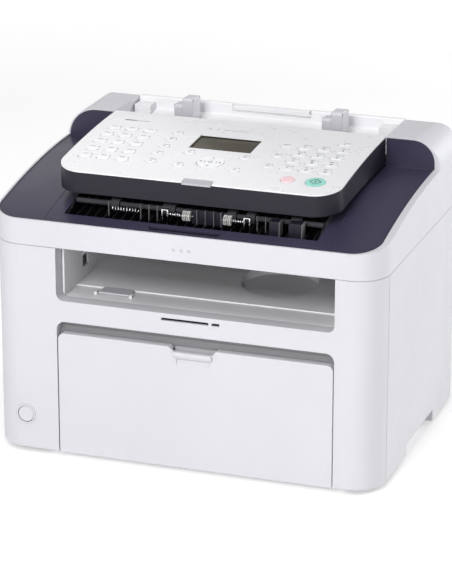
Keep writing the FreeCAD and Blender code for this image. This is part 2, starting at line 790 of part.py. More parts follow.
FULL = ((-105, 128),)
roller("pickup_roller", pickup_axis, ((-8, 31),), 16, shaft, pickup_gear)
roller("registration_roller", registration_axis, ((-90, -50), (-20, 43), (73, 113)), 7, shaft, registration_gear)
roller("photosensitive_drum", drum_axis, FULL, drum_radius, 4, drum_gear)
roller("transfer_roller", transfer_axis, FULL, 8, shaft, transfer_gear)
roller("heat_roller", heat_axis, FULL, fixing_radius, 5, heat_gear)
roller("pressure_roller", pressure_axis, FULL, fixing_radius, 5, None)
roller("delivery_roller", delivery_axis, ((-80, -62), (-30, -12), (35, 53), (85, 103)), 6.5, shaft, delivery_gear)

SHAFT_HOLES = ((pickup_axis, shaft), (registration_axis, shaft), (drum_axis, as_size(4)),
               (transfer_axis, shaft), (heat_axis, as_size(5)), (pressure_axis, as_size(5)),
               (delivery_axis, shaft))


def build_side_frames():
    """Steel plates that carry every shaft of the print engine."""
    places = (("left", -frame_left, -frame_left + frame_sheet),
              ("right", frame_right, frame_right + frame_sheet))
    for name, x0, x1 in places:
        outline = [(-108, foot_height + 4), (106, foot_height + 4), (106, 150, 20), (96, 198, 8),
                   (40, 198, 8), (20, 148, 20), (-108, 148, 10)]
        sheet_metal = slab("frame_sheet_" + name, "YZ", outline, x0, x1)
        foot_x0, foot_x1 = (x0 - 12, x0 + 1) if name == "left" else (x1 - 1, x1 + 12)
        foot = box("frame_foot_" + name, foot_x0, foot_x1, -100, -60, foot_height + 4, foot_height + 5.5)
        holes = []
        for turn, (axis, radius) in enumerate(SHAFT_HOLES):
            holes.append(rod_x("frame_bore_%s_%d" % (name, turn), x0 - 1, x1 + 1, axis[0], axis[1], radius + fit))
        holes.append(box("frame_window_" + name, x0 - 1, x1 + 1, -95, -60, 40, 80))
        holes.append(rod_x("frame_motor_way_" + name, x0 - 1, x1 + 1, pinion_axis[0], pinion_axis[1], 5))
        whole = join("frame_whole_" + name, sheet_metal, foot)
        node(cut("frame_solid_" + name, whole, *holes), name + "_frame")


build_side_frames()


def build_motor():
    y, z = pinion_axis
    can = rod_x("motor_can", -176, -138, y, z, 21)
    boss = rod_x("motor_boss", -178, -175, y, z, 8)
    posts = []
    for turn in range(3):
        angle = math.radians(120 + 60 * turn)
        posts.append(rod_x("motor_post_%d" % turn, -139, -frame_left, y + 17 * math.cos(angle),
                           z + 17 * math.sin(angle), 2.5))
    bore = rod_x("motor_bore", -150, -137, y, z, 2 + fit)
    node(cut("motor_solid", join("motor_whole", can, boss, *posts), bore), "main_motor")
    wheel = gear("pinion_wheel", pinion_axis, pinion_radius)
    stub = rod_x("pinion_stub", -149, gear_inner, y, z, 2)
    node(join("pinion_solid", wheel, stub), "motor_pinion")


build_motor()


def build_cartridge():
    """Toner cartridge: a closed hopper with a hollow for the drum at its rear."""
    outline = [(-45, 84, 4), (36, 84), (54, 112), (36, 134, 6), (-45, 134, 8)]
    hopper = slab("cartridge_hopper", "YZ", outline, -110, 133)
    store = slab("cartridge_store", "YZ", [(-41, 88), (26, 88), (26, 129), (-41, 129)], -106, 129)
    seat = rod_x("cartridge_seat", -112, 135, drum_axis[0], drum_axis[1], drum_radius + 0.6)
    handle = box("cartridge_handle", -20, 43, -47.5, -44, 112, 120)
    guides = [rod_x("cartridge_guide_left", -frame_left + frame_sheet, -109, -20, 122, 4),
              rod_x("cartridge_guide_right", 132, frame_right, -20, 122, 4)]
    whole = join("cartridge_whole", hopper, handle, *guides)
    node(cut("cartridge_solid", whole, store, seat), "toner_cartridge")


build_cartridge()


def build_scanner_unit():
    """Laser scanner: a flat box with a lid and the polygon motor's dome."""
    case = box("laser_case", -90, 113, -120, -52, 92, 122)
    lid = box("laser_lid", -92, 115, -121, -51, 121, 124)
    dome = rod_z("laser_dome", 11.5, -96, 123, 130, 20)
    legs = []
    for turn, (x0, x1) in enumerate(((-frame_left + frame_sheet, -89), (112, frame_right))):
        legs.append(box("laser_arm_%d" % turn, x0, x1, -100, -70, 104, 108))
    slot = box("laser_slot", -80, 103, -54, -51, 104, 110)
    node(cut("laser_solid", join("laser_whole", case, lid, dome, *legs), slot), "laser_scanner")


build_scanner_unit()


def build_fuser():
    """Frame of the fixing unit, open above and below for the sheet."""
    block = box("fuser_block", -112, 135, 52, 106, 118, 164)
    hollows = [rod_x("fuser_heat_way", -113, 136, heat_axis[0], heat_axis[1], fixing_radius + 0.6),
               rod_x("fuser_press_way", -113, 136, pressure_axis[0], pressure_axis[1], fixing_radius + 0.6),
               box("fuser_sheet_way", -106, 129, 74, 83, 117, 165)]
    arms = []
    for turn, (x0, x1) in enumerate(((-frame_left + frame_sheet, -111), (134, frame_right))):
        for y in (54, 98):
            arms.append(box("fuser_arm_%d_%d" % (turn, y), x0, x1, y, y + 6, 119, 125))
    node(join("fuser_solid", cut("fuser_hollow", block, *hollows), *arms), "fuser_frame")


build_fuser()


# ---------------------------------------------------------------- electronics and sockets

def build_boards():
    board_face = frame_right + 6
    board = box("main_board_sheet", board_face, board_face + 1.6, -95, 112, 24, 186)
    chips = []
    for turn, (y, z, length, height, thick) in enumerate(
            ((-60, 120, 30, 30, 2.4), (0, 130, 22, 22, 2.4), (-20, 60, 40, 14, 4),
             (40, 90, 14, 40, 6), (-80, 160, 50, 8, 8), (60, 150, 30, 12, 5))):
        chips.append(box("main_chip_%d" % turn, board_face + 1.4, board_face + 1.6 + thick, y, as_size(y) + length,
                         z, as_size(z) + height))
    posts = []
    for turn, (y, z) in enumerate(((-80, 30), (80, 30), (-80, 130), (10, 134))):
        posts.append(rod_x("main_post_%d" % turn, frame_right + frame_sheet, board_face + 0.2, y, z, 3))
    port = box("usb_shell", 136, 148, 106.4, rear - 0.4, 107, 118)
    port_hole = box("usb_hole", 138, 146, 110, rear, 109, 116)
    port_lead = box("usb_arm", 147, board_face + 1, 106.4, 112, 110, 115)
    whole = join("main_board_solid", board, cut("usb_port", port, port_hole), port_lead, *(chips + posts))
    node(whole, "main_board")
    power = box("power_sheet", 175, 176.6, -92, 36, 30, 150)
    parts_on_power = [rod_x("power_capacitor", 164, 176, -60, 60, 9),
                      box("power_transformer", 162, 176, -30, 0, 60, 92),
                      box("power_sink", 165, 176, 10, 16, 50, 130),
                      box("power_choke", 166, 176, -70, -50, 100, 124)]
    for turn, (y, z) in enumerate(((-86, 36), (30, 36), (-86, 144), (30, 144))):
        parts_on_power.append(rod_x("power_post_%d" % turn, 176.4, half - wall, y, z, 3))
    node(join("power_board_solid", power, *parts_on_power), "power_supply_board")


build_boards()


def build_sockets():
    """Mains inlet and telephone jacks, just behind the right side frame."""
    shell_of_inlet = box("inlet_shell", 125.3, 152.7, rear - socket_depth, rear + 0.5, 24.3, 45.7)
    mouth = box("inlet_mouth", 128, 150, rear - 13, rear + 1, 27, 43)
    prongs = []
    for turn, (x, z) in enumerate(((133, 33), (145, 33), (139, 38))):
        prongs.append(box("inlet_prong_%d" % turn, as_size(x) - 1, as_size(x) + 1, rear - 14, rear - 3,
                          as_size(z) - 2.5, as_size(z) + 2.5))
    node(join("inlet_solid", cut("inlet_hollow", shell_of_inlet, mouth), *prongs), "mains_inlet")
    block = box("jack_block", 115.3, 154.7, rear - socket_depth, rear + 0.3, 68.3, 83.7)
    mouths = []
    for turn in range(3):
        x = as_size(117 + 13 * turn)
        mouths.append(box("jack_mouth_%d" % turn, x, x + 10.5, rear - 12, rear + 1, 71, 79))
        mouths.append(box("jack_latch_%d" % turn, x + 3, x + 7.5, rear - 12, rear + 1, 78, 81.6))
    node(cut("jack_solid", block, *mouths), "line_jacks")


build_sockets()


def build_speaker():
    basket = doc.addObject("Part::Cone", "speaker_basket")
    basket.Placement.Rotation = Rotation(Vector(0, 1, 0), 90)
    bind(basket, "Radius1", 20)
    bind(basket, "Radius2", 10)
    bind(basket, "Height", 8)
    place(basket, -half + wall + 2, 70, 60)
    flange = rod_x("speaker_flange", -half + wall, -half + wall + 2, 70, 60, 21)
    magnet = rod_x("speaker_magnet", -half + wall + 9.5, -half + wall + 16, 70, 60, 10)
    node(join("speaker_solid", basket, flange, magnet), "speaker")


build_speaker()


def build_power_button():
    disc = rod_y("power_disc", button_x, front - 0.4, front + 4, button_z, 7.6)
    cap = soften("power_cap", disc, 0.7, lambda edge: edge.BoundBox.YMax < front.number)
    stem = rod_y("power_stem", button_x, front + 3, front + 12, button_z, 4)
    node(join("power_button_solid", cap, stem), "power_button")


build_power_button()


# ---------------------------------------------------------------- upper unit

def deck_line(lift):
    """Front, middle and rear point of the curved deck, moved up by lift."""
    return [(front, band_height + lift), Via(-deck_half_way, deck_rise + lift), (hump_face, hump_foot + lift)]


def hump_outline(top, low):
    """Front view of the hump's outside: upright sides and rounded upper corners."""
    return [(-half, low), (half, low), (half, top, hump_round), (-half, top, hump_round)]


def face_outline(gap, low):
    """Front view of the space in the hump between the walls, moved in by gap."""
    left = rim_left + gap - half
    right = half - rim_right - gap
    top = hump_crest - 2 - gap
    return [(left, low), (right, low), (right, top, face_round_right - gap), (left, top, face_round_left - gap)]


def lid_front(gap):
    """Front corners of the space inside the upper cover's walls, moved in by gap."""
    left = rim_left + gap - half
    right = half - rim_right - gap
    corner = lid_round - gap
    return [(left, front + front_rim + gap, corner), (right, front + front_rim + gap, corner)]


def build_upper_cover():
    """White cover of the upper unit: band, cheeks and hump in one shell."""
    plan_outside = slab("upper_plan", "XY", plan(as_size(0)), upper_floor, hump_crest + 5)
    side_view = slab("upper_side", "YZ",
                     deck_line(0.6) + [(hump_face, hump_crest), (rear, hump_back, 8), (rear, upper_floor),
                                       (front, upper_floor)], -half, half)
    front_view = slab("upper_front", "XZ", hump_outline(hump_crest, upper_floor), front, rear)
    outside = common("upper_outside", plan_outside, side_view, front_view)
    rear_corner = rear_round - wall
    plan_inside = slab("upper_plan_inside", "XY",
                       lid_front(as_size(0)) + [(half - rim_right, rear - wall, rear_corner),
                                                (rim_left - half, rear - wall, rear_corner)],
                       upper_floor - 1, hump_crest + 5)
    side_inside = slab("upper_side_inside", "YZ",
                       [(front, upper_floor - 1), (front, hump_crest - 2), (hump_face, hump_crest - 2),
                        (rear, hump_back - 2), (rear, upper_floor - 1)], -half, half)
    front_inside = slab("upper_front_inside", "XZ", face_outline(as_size(0), upper_floor - 1), front, rear)
    inside = common("upper_inside", plan_inside, side_inside, front_inside)
    hollow = cut("upper_shell", outside, inside)
    cheeks = []
    for name, x0, x1 in (("left", cheek_left - 3, cheek_left), ("right", cheek_right, cheek_right + 3)):
        block = box("upper_cheek_" + name, x0, x1, hump_face + 3.6, rear - 1, 236, hump_crest)
        cheeks.append(common("upper_cheek_skin_" + name, block, outside))
    tray_way = box("upper_tray_way", cheek_left, cheek_right, hump_face - 1, rear + 1, 246, hump_crest + 5)
    dots = []
    for turn in range(3):
        dots.append(rod_y("grip_dot_%d" % turn, as_size(-6.7 + 7.3 * turn), front - 1, front + 0.8, 213.9, 1.4))
    knuckles = []
    notches = []
    for low, middle, high in lid_hinges:
        knuckles += knuckle_pair("upper_knuckle_%d" % middle, middle, high, upper_floor + 0.2, upper_floor + 4)
        notches.append(box("lower_knuckle_way_%d" % middle, low - 0.5, middle, rear - wall - 1, rear + 8,
                           split_height - 8, lid_axis_z + knuckle + 0.5))
    pin_bore = rod_x("upper_pin_bore", -half, half, lid_axis_y, lid_axis_z, lid_pin + fit)
    panel_pin_bore = rod_x("panel_pin_bore", cheek_left - 4, cheek_right + 4, panel_pivot_y, panel_pivot_z, 2)
    walls = cut("upper_walls", hollow, tray_way, *(dots + notches))
    whole = join("upper_whole", walls, *(cheeks + knuckles))
    node(cut("upper_cover_solid", whole, pin_bore, panel_pin_bore), "upper_cover")


panel_pivot_y = hump_face + 6
panel_pivot_z = as_size(256)
build_upper_cover()


def build_hinge_pins():
    """Steel pins of the lid hinges and of the operation panel, all held by the upper unit."""
    links = []
    for low, middle, high in lid_hinges:
        links.append(rod_x("lid_pin_%d" % middle, low, high, lid_axis_y, lid_axis_z, lid_pin))
    links.append(rod_x("panel_pin_left", cheek_left - 3, 7 - panel_left, panel_pivot_y, panel_pivot_z, 2))
    links.append(rod_x("panel_pin_right", panel_right - 7, cheek_right + 3, panel_pivot_y, panel_pivot_z, 2))
    group = doc.addObject("Part::Compound", "pin_group")
    group.Links = links
    node(group, "hinge_pins")


build_hinge_pins()

exit_half = as_size(134)
exit_front = front + 7.5
exit_rear = as_size(-62)
pit_left = as_size(-119)
pit_right = as_size(122)
pit_front = as_size(-124)
deck_drop = as_size(-0.4)


def deck_sheet(name, x0, x1):
    """The curved deck sheet, 3 mm thick, with a short tail under the hump's face."""
    top = deck_line(deck_drop)
    tail = [(hump_face + 3, hump_foot + deck_drop), (hump_face + 3, hump_foot + deck_drop - wall)]
    under = [(hump_face, hump_foot + deck_drop - wall), Via(-deck_half_way, deck_rise + deck_drop - wall),
             (front, band_height + deck_drop - wall)]
    return slab(name, "YZ", top + tail + under, x0, x1)


def build_top_deck():
    """Dark deck with the face of the hump."""
    gap = as_size(0.3)
    left = rim_left + gap - half
    right = half - rim_right - gap
    outline = slab("deck_plan", "XY", lid_front(gap) + [(right, hump_face + 3), (left, hump_face + 3)],
                   215, hump_crest)
    sheet_solid = common("deck_skin", deck_sheet("deck_band", -half, half), outline)
    face = slab("hump_face_plate", "XZ", face_outline(gap, hump_foot - 3), hump_face, hump_face + 3)
    panel_way = box("deck_panel_way", -panel_left - 0.4, panel_right + 0.4, hump_face - 1, hump_face + 4,
                    hump_foot + 0.1, hump_crest + 1)
    exit_way = box("deck_exit_way", -exit_half, exit_half, exit_front, exit_rear, 200, 260)
    guide_way = box("deck_guide_way", pit_left, pit_right, exit_rear - 1, hump_face + 5, 200, 260)
    plate = join("deck_whole", sheet_solid, face)
    node(cut("deck_solid", plate, panel_way, exit_way, guide_way), "top_deck")


build_top_deck()


def build_exit_frame():
    """Dark frame round the document exit, with a long slot in its front bar."""
    band = deck_sheet("exit_band", -exit_half + 0.3, exit_half - 0.3)
    zone = box("exit_zone", -exit_half + 0.3, exit_half - 0.3, exit_front + 0.3, exit_rear - 0.3, 200, 260)
    pit = slab("exit_pit", "XY",
               [(pit_left, pit_front, 2), (pit_right, pit_front, 2), (pit_right, exit_rear + 1),
                (pit_left, exit_rear + 1)], 200, 260)
    slot = slab("exit_slot", "XY", [(-34, -134.5, 3), (34, -134.5, 3), (34, -128, 3), (-34, -128, 3)], 200, 260)
    node(cut("exit_solid", common("exit_skin", band, zone), pit, slot), "exit_frame")


build_exit_frame()

eject_axis = (-97, 236.5)
feed_axis = (24, 240.8)
platen_axis = (-40, 250.6)
guide_left_x = pit_left + 0.3
guide_right_x = pit_right - 0.3


def build_lower_guide():
    """Black basin under the documents: a bent plate, side walls and a comb of ribs."""
    plate = slab("guide_plate", "YZ",
                 [(-123.7, 228), (-121.7, 228), (-121.7, 216), (-96, 216), (-62, 240), (50, 249),
                  (50, 247), (-61, 238), (-95, 214), (-123.7, 214)], guide_left_x, guide_right_x)
    pieces = [plate]
    cheek = [(-123.7, 214), (-95, 214), (-61, 236), (50, 236), (50, 249), (-62, 240), (-96, 240), (-110, 232),
             (-123.7, 228)]
    for name, x0, x1 in (("left", guide_left_x, guide_left_x + 2), ("right", guide_right_x - 2, guide_right_x)):
        pieces.append(slab("guide_cheek_" + name, "YZ", cheek, x0, x1))
    rib = slab("guide_rib", "YZ",
               [(-122, 215), (-122, 225), (-108, 228), (-88, 229.5), (-78, 239.5), (-62, 243), (-62, 239),
                (-96, 215)], -112, -110.6)
    comb = rib.newObject("PartDesign::LinearPattern", "guide_comb")
    comb.Originals = [doc.getObject("guide_rib_pad")]
    comb.Direction = (doc.getObject("guide_rib_sketch"), ["N_Axis"])
    bind(comb, "Length", 226)
    comb.Occurrences = 27
    rib.Tip = comb
    pieces.append(rib)
    ways = [box("guide_feed_way", -21, 21, 13, 35, 230, 255),
            box("guide_sensor_way", -114, 117, -54, -26, 220, 246),
            rod_x("guide_eject_bore", guide_left_x - 1, guide_right_x + 1, eject_axis[0], eject_axis[1], 2.5 + fit),
            rod_x("guide_feed_bore", guide_left_x - 1, guide_right_x + 1, feed_axis[0], feed_axis[1], shaft + fit)]
    node(cut("guide_solid", join("guide_whole", *pieces), *ways), "adf_lower_guide")


build_lower_guide()


def build_adf_rollers():
    eject = [rod_x("eject_shaft", guide_left_x, guide_right_x, eject_axis[0], eject_axis[1], 2.5)]
    for turn, (x0, x1) in enumerate(((-82, -74), (-32, -20), (30, 38), (48, 56), (90, 98))):
        eject.append(rod_x("eject_sleeve_%d" % turn, x0, x1, eject_axis[0], eject_axis[1], 5.5))
    node(join("eject_solid", *eject), "adf_eject_roller")
    feed = [rod_x("feed_shaft", guide_left_x, guide_right_x, feed_axis[0], feed_axis[1], shaft),
            rod_x("feed_sleeve", -18, 18, feed_axis[0], feed_axis[1], 9)]
    node(join("feed_roller_solid", *feed), "adf_feed_roller")


build_adf_rollers()


def build_scan_unit():
    """Contact image sensor with its glass strip."""
    sensor = box("sensor_body", -112, 115, -52, -28, 224, 239.5)
    glass = box("sensor_glass", -110, 113, -50, -30, 239.4, 242.3)
    node(join("sensor_solid", sensor, glass), "image_sensor")


build_scan_unit()

tray_left = cheek_left + 0.2
tray_right = cheek_right - 0.2


def build_document_tray():
    """Sloped tray behind the panel, with a raised rear rim and slots for the guides."""
    plate = slab("document_plate", "YZ",
                 [(66, 256.5), (118, 268), (118, 265.5), (66, 254)], tray_left, tray_right)
    tongue = slab("document_tongue", "YZ",
                  [(57, 251), (66.5, 256.6), (66.5, 254), (57, 248.5)], -117.5, 117.5)
    rear_rim = slab("document_rim", "YZ",
                    [(115, 265), (117, 248), (rear, 248), (rear, hump_back, 2), (115, hump_back, 1.5)],
                    tray_left, tray_right)
    blocks = []
    for name, x0, x1 in (("left", -135.5, -119), ("right", 112, 130)):
        blocks.append(box("document_block_" + name, x0, x1, 99, 116, 262, 273.5))
    ways = [box("left_guide_way", -128, -66, 80, 86, 240, 275),
            box("right_guide_way", 66, 128, 88, 94, 240, 275),
            box("flap_way", -40, 40.2, 113, rear + 1, 271, hump_back + 1)]
    whole = join("document_whole", plate, tongue, rear_rim, *blocks)
    lugs = [box("flap_lug_left", -41.4, -39.4, 116, rear - 0.2, 270.6, 277.8),
            box("flap_lug_right", 39.6, 41.6, 116, rear - 0.2, 270.6, 277.8)]
    opened = cut("document_open", whole, *ways)
    bore = rod_x("flap_bore", -42, 42, flap_axis_y, flap_axis_z, 1 + fit)
    node(cut("document_solid", join("document_lugged", opened, *lugs), bore), "document_tray")


flap_axis_y = as_size(119)
flap_axis_z = as_size(275.6)
build_document_tray()


def build_flap():
    """Document stopper in the middle of the rim; it folds up and over to the rear."""
    leaf = slab("flap_leaf", "YZ",
                [(114.5, 274.8), (119, 274), (121, 274.2, 0.8), (121, 277.8, 0.8), (114.5, 278.2, 0.8)], -38.6, 38.8)
    lip = slab("flap_lip", "YZ", [(113.5, 274), (115.5, 274), (115.5, 278.1), (113.5, 278.1, 0.6)], -38.6, 38.8)
    pin = rod_x("flap_pin", -41.2, 41.4, flap_axis_y, flap_axis_z, 1)
    node(join("flap_solid", leaf, lip, pin), "tray_flap")


build_flap()


def build_document_guides():
    """Two guides that slide apart: an upright fin with a lower wing on its left, and a rack below."""
    for name, side, fin_x, wing_x, lane in (("left", -1, (-77.5, -66.5), (-86.5, -76.5), 81),
                                            ("right", 1, (71.5, 83), (62, 72.5), 89)):
        fin = slab("guide_fin_" + name, "YZ",
                   [(76, 259.6), (97, 264.2), (97, 289.5, 3), (76, 291, 3)], *fin_x)
        wing = slab("guide_wing_" + name, "YZ",
                    [(77.5, 260), (95.5, 264), (95.5, 282.5, 3), (77.5, 284, 3)], *wing_x)
        post_x = as_size((wing_x[0] + fin_x[1]) / 2)
        post = box("guide_post_" + name, post_x - 4, post_x + 4, lane, lane + 4, 252, 266)
        rack_x0, rack_x1 = (wing_x[0], 8) if side < 0 else (-8, fin_x[1])
        rack = box("guide_rack_" + name, rack_x0, rack_x1, lane, lane + 4, 250.5, 253)
        node(join("document_guide_solid_" + name, fin, wing, post, rack), "document_guide_" + name)


build_document_guides()


# ---------------------------------------------------------------- operation panel

KEY_DEPTH = 6
key_top = as_size(290)
key_bottom = as_size(258)


def panel_plan(inset):
    left = inset - panel_left
    right = panel_right - inset
    back = hump_face - 0.4 - inset
    return [(left, panel_edge + inset, panel_round - inset), (right, panel_edge + inset, panel_round - inset),
            (right, back, 0.8), (left, back, 0.8)]


def panel_line(lift):
    """The panel's arched top from front to rear, moved up by lift."""
    return [(panel_edge, panel_low + lift), Via(-30, panel_mid + lift), (hump_face, hump_crest + lift)]


def panel_layer(name, top, under):
    """Everything between two copies of the panel's arched top."""
    low = [(hump_face, hump_crest + under), Via(-30, panel_mid + under), (panel_edge, panel_low + under)]
    return slab(name, "YZ", panel_line(top) + low, -panel_left, panel_right)


ONE_TOUCH = [("one_touch_%d_%d" % (row, column), -117.5 + 18 * column, -1.5 - 18.4 * row, 12, 7)
             for row in range(5) for column in range(3)]
NUMBERS = [("number_%d_%d" % (row, column), 71.8 + 18.2 * column, -5 - 18 * row, 13, 8.4)
           for row in range(4) for column in range(3)]
FUNCTIONS = [("function_%d" % row, -54.5, 1 - 18.2 * row, 10, 6) for row in range(5)]
FUNCTIONS += [("function_left_%d" % row, -27, -44 - 30.4 * row, 10, 6) for row in range(2)]
FUNCTIONS += [("function_right_%d" % row, 27, -44 - 30.4 * row, 10, 6) for row in range(2)]
FUNCTIONS += [("function_far_%d" % row, 53, -5.4 - 26.3 * row, 9, 5.4) for row in range(3)]
FUNCTIONS += [("function_top", 104.3, 13.5, 12, 6)]
start_x, stop_x, big_key_y = 106.4, 80.2, -82
start_radius, stop_radius = 9.2, 6.5
ring_y = -62
tab_left, tab_right = -11.2, 17.2
lcd = (-32.5, 28, -32, 4.8)


def key_set(name, places, grow, z0, z1):
    """All the keys of one group as upright prisms, grown by grow on each side."""
    keys = []
    for key_name, x, y, length, breadth in places:
        keys.append(pill("%s_%s" % (name, key_name), x, y, as_size(length) + grow * 2,
                         as_size(breadth) + grow * 2, z0, z1))
    return keys


def build_panel_cover():
    """White face of the panel with an opening for every key."""
    layer = panel_layer("cover_layer", as_size(0), -panel_skin)
    outline = slab("cover_plan", "XY", panel_plan(as_size(0)), 240, 300)
    skin = common("cover_skin", layer, outline)
    ways = key_set("way", ONE_TOUCH + NUMBERS + FUNCTIONS, key_gap, key_bottom, key_top)
    ways.append(rod_z("way_start", start_x, big_key_y, key_bottom, key_top, start_radius + key_gap))
    ways.append(rod_z("way_stop", stop_x, big_key_y, key_bottom, key_top, stop_radius + key_gap))
    ways.append(rod_z("way_ring", 0, ring_y, key_bottom, key_top, 12.5 + key_gap))
    ways.append(box("way_lcd", lcd[0], lcd[1], lcd[2], lcd[3], key_bottom, key_top))
    ways.append(box("way_tab", tab_left, tab_right, panel_edge - 5, panel_edge + 7.2, key_bottom, key_top))
    node(cut("cover_solid", skin, *ways), "panel_cover")


build_panel_cover()


def build_panel_base():
    """Dark tub of the panel with its hinge lugs at the rear."""
    sole = [(hump_face, panel_heel), Via(-30, panel_belly), (panel_edge, panel_sole)]
    body = slab("base_side_view", "YZ", panel_line(-panel_skin) + sole, -panel_left, panel_right)
    outline = slab("base_plan", "XY", panel_plan(as_size(0)), 240, 300)
    hollow_plan = slab("base_hollow_plan", "XY", panel_plan(as_size(3)), 240, 300)
    hollow_view = slab("base_hollow_view", "YZ",
                       [(panel_edge, panel_sole + tray_plate), Via(-30, panel_belly + tray_plate),
                        (hump_face, panel_heel + tray_plate), (hump_face, 299), (panel_edge, 299)],
                       -panel_left, panel_right)
    hollow = common("base_hollow", hollow_plan, hollow_view)
    tub = cut("base_tub", common("base_block", body, outline), hollow)
    pieces = [tub]
    for name, x0, x1 in (("left", 1.5 - panel_left, 7 - panel_left), ("right", panel_right - 7, panel_right - 1.5)):
        pieces.append(box("panel_arm_" + name, x0, x1, hump_face - 4, panel_pivot_y, 254, 260))
        pieces.append(rod_x("panel_eye_" + name, x0, x1, panel_pivot_y, panel_pivot_z, 4))
    for turn, (x, y, foot) in enumerate(((-112, -72, 251), (112, -72, 251), (-112, 18, 254), (112, 18, 254))):
        pieces.append(rod_z("panel_post_%d" % turn, x, y, foot, 259, 3))
    platen_way = box("platen_way", -108, 111, -49, -31, 240, 258.5)
    tab_way = box("base_tab_way", tab_left, tab_right, panel_edge - 5, panel_edge + 7.2, 264.5, 280)
    pin_bore = rod_x("panel_eye_bore", -panel_left, panel_right, panel_pivot_y, panel_pivot_z, 2 + fit)
    whole = join("panel_base_whole", *pieces)
    node(cut("panel_base_solid", whole, platen_way, tab_way, pin_bore), "panel_base")


build_panel_base()


def build_keys():
    layer = panel_layer("key_layer", key_proud, as_size(-KEY_DEPTH))
    groups = (("one_touch_keys", ONE_TOUCH), ("number_keys", NUMBERS), ("function_keys", FUNCTIONS))
    for label, places in groups:
        keys = []
        for turn, prism in enumerate(key_set(label, places, as_size(0), key_bottom, key_top)):
            keys.append(common("%s_key_%d" % (label, turn), prism, layer))
        group = doc.addObject("Part::Compound", label + "_group")
        group.Links = keys
        node(group, label)
    start = rod_z("start_rod", start_x, big_key_y, key_bottom, key_top, start_radius)
    node(common("start_solid", start, layer), "start_key")
    stop = rod_z("stop_rod", stop_x, big_key_y, key_bottom, key_top, stop_radius)
    node(common("stop_solid", stop, layer), "stop_key")
    ring = rod_z("ring_rod", 0, ring_y, key_bottom, key_top, 12.5)
    ring_hole = rod_z("ring_hole", 0, ring_y, key_bottom - 1, key_top + 1, 5.6 + key_gap)
    node(cut("ring_solid", common("ring_disc", ring, layer), ring_hole), "navigation_ring")
    ok = rod_z("ok_rod", 0, ring_y, key_bottom, key_top, 5.6)
    node(common("ok_solid", ok, layer), "ok_key")


build_keys()


def build_display():
    layer = panel_layer("window_layer", as_size(-2.2), as_size(-4.2))
    pane = box("window_pane", lcd[0] + 0.1, lcd[1] - 0.1, lcd[2] + 0.1, lcd[3] - 0.1, 260, 290)
    node(common("window_solid", pane, layer), "lcd_window")
    board = box("panel_board_sheet", -118, 118, -92, 22, 259, 260.6)
    display = box("lcd_frame", lcd[0] - 3, lcd[1] + 3, lcd[2] - 2, lcd[3] + 2, 260.5, 271.5)
    chip = box("panel_chip", -40, -26, -86, -72, 260.5, 262.5)
    node(join("panel_board_solid", board, display, chip), "panel_board")
    tab = slab("tab_side", "YZ",
               [(panel_edge - 2, 264.8, 0.8), (panel_edge - 2, 266.8, 0.8), (panel_edge + 6.8, 268.8),
                (panel_edge + 6.8, 266.4), (panel_edge + 1, 264.8)], tab_left + 0.4, tab_right - 0.4)
    node(tab, "panel_tab")
    platen = [rod_x("platen_sleeve", -105, 108, platen_axis[0], platen_axis[1], 7.2),
              rod_x("platen_shaft", -107.6, 110.6, platen_axis[0], platen_axis[1], 2.5)]
    node(join("platen_solid", *platen), "platen_roller")


build_display()


# ---------------------------------------------------------------- checks and files

doc.recompute()


def check():
    for thing in doc.Objects:
        if "Invalid" in thing.State or "Error" in thing.State:
            raise RuntimeError("%s failed: %s" % (thing.Name, thing.State))
    labels = [solid.Label for solid in nodes]
    if len(set(labels)) != len(labels):
        raise RuntimeError("two sub-parts share a label")
    for solid in nodes:
        if solid.Shape.isNull() or not solid.Shape.isValid():
            raise RuntimeError("%s has no valid shape" % solid.Label)
        if not solid.Shape.Solids:
            raise RuntimeError("%s has no solid" % solid.Label)


def write():
    os.makedirs("parts", exist_ok=True)
    for solid in nodes:
        solid.Shape.exportStep("parts/%s.step" % solid.Label)
        bounds = solid.Shape.BoundBox
        print("%-24s solids %2d  volume %9.0f  z %6.1f..%6.1f" % (
            solid.Label, len(solid.Shape.Solids), solid.Shape.Volume, bounds.ZMin, bounds.ZMax))
    print(len(nodes), "sub-parts")


check()
write()
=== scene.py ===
"""Looks of the fax machine: materials for every CAD node, small added pieces and a studio."""
import math

import bmesh
import bpy
from mathutils import Matrix, Vector
from mathutils.bvhtree import BVHTree


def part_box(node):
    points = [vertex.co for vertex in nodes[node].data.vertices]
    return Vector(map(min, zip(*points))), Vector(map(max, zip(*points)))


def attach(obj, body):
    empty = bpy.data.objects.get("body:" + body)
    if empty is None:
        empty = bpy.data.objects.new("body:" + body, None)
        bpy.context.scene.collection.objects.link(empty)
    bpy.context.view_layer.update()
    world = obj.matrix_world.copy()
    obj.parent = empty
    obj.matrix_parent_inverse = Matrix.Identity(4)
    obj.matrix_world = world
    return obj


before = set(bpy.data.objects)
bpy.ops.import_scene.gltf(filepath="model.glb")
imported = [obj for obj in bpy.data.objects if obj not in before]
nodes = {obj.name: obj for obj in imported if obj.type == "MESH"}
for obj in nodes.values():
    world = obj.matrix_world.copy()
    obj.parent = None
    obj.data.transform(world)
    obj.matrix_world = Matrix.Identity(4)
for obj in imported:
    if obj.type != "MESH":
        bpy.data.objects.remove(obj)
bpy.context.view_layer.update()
MM = 0.001


# ---------------------------------------------------------------- material building blocks

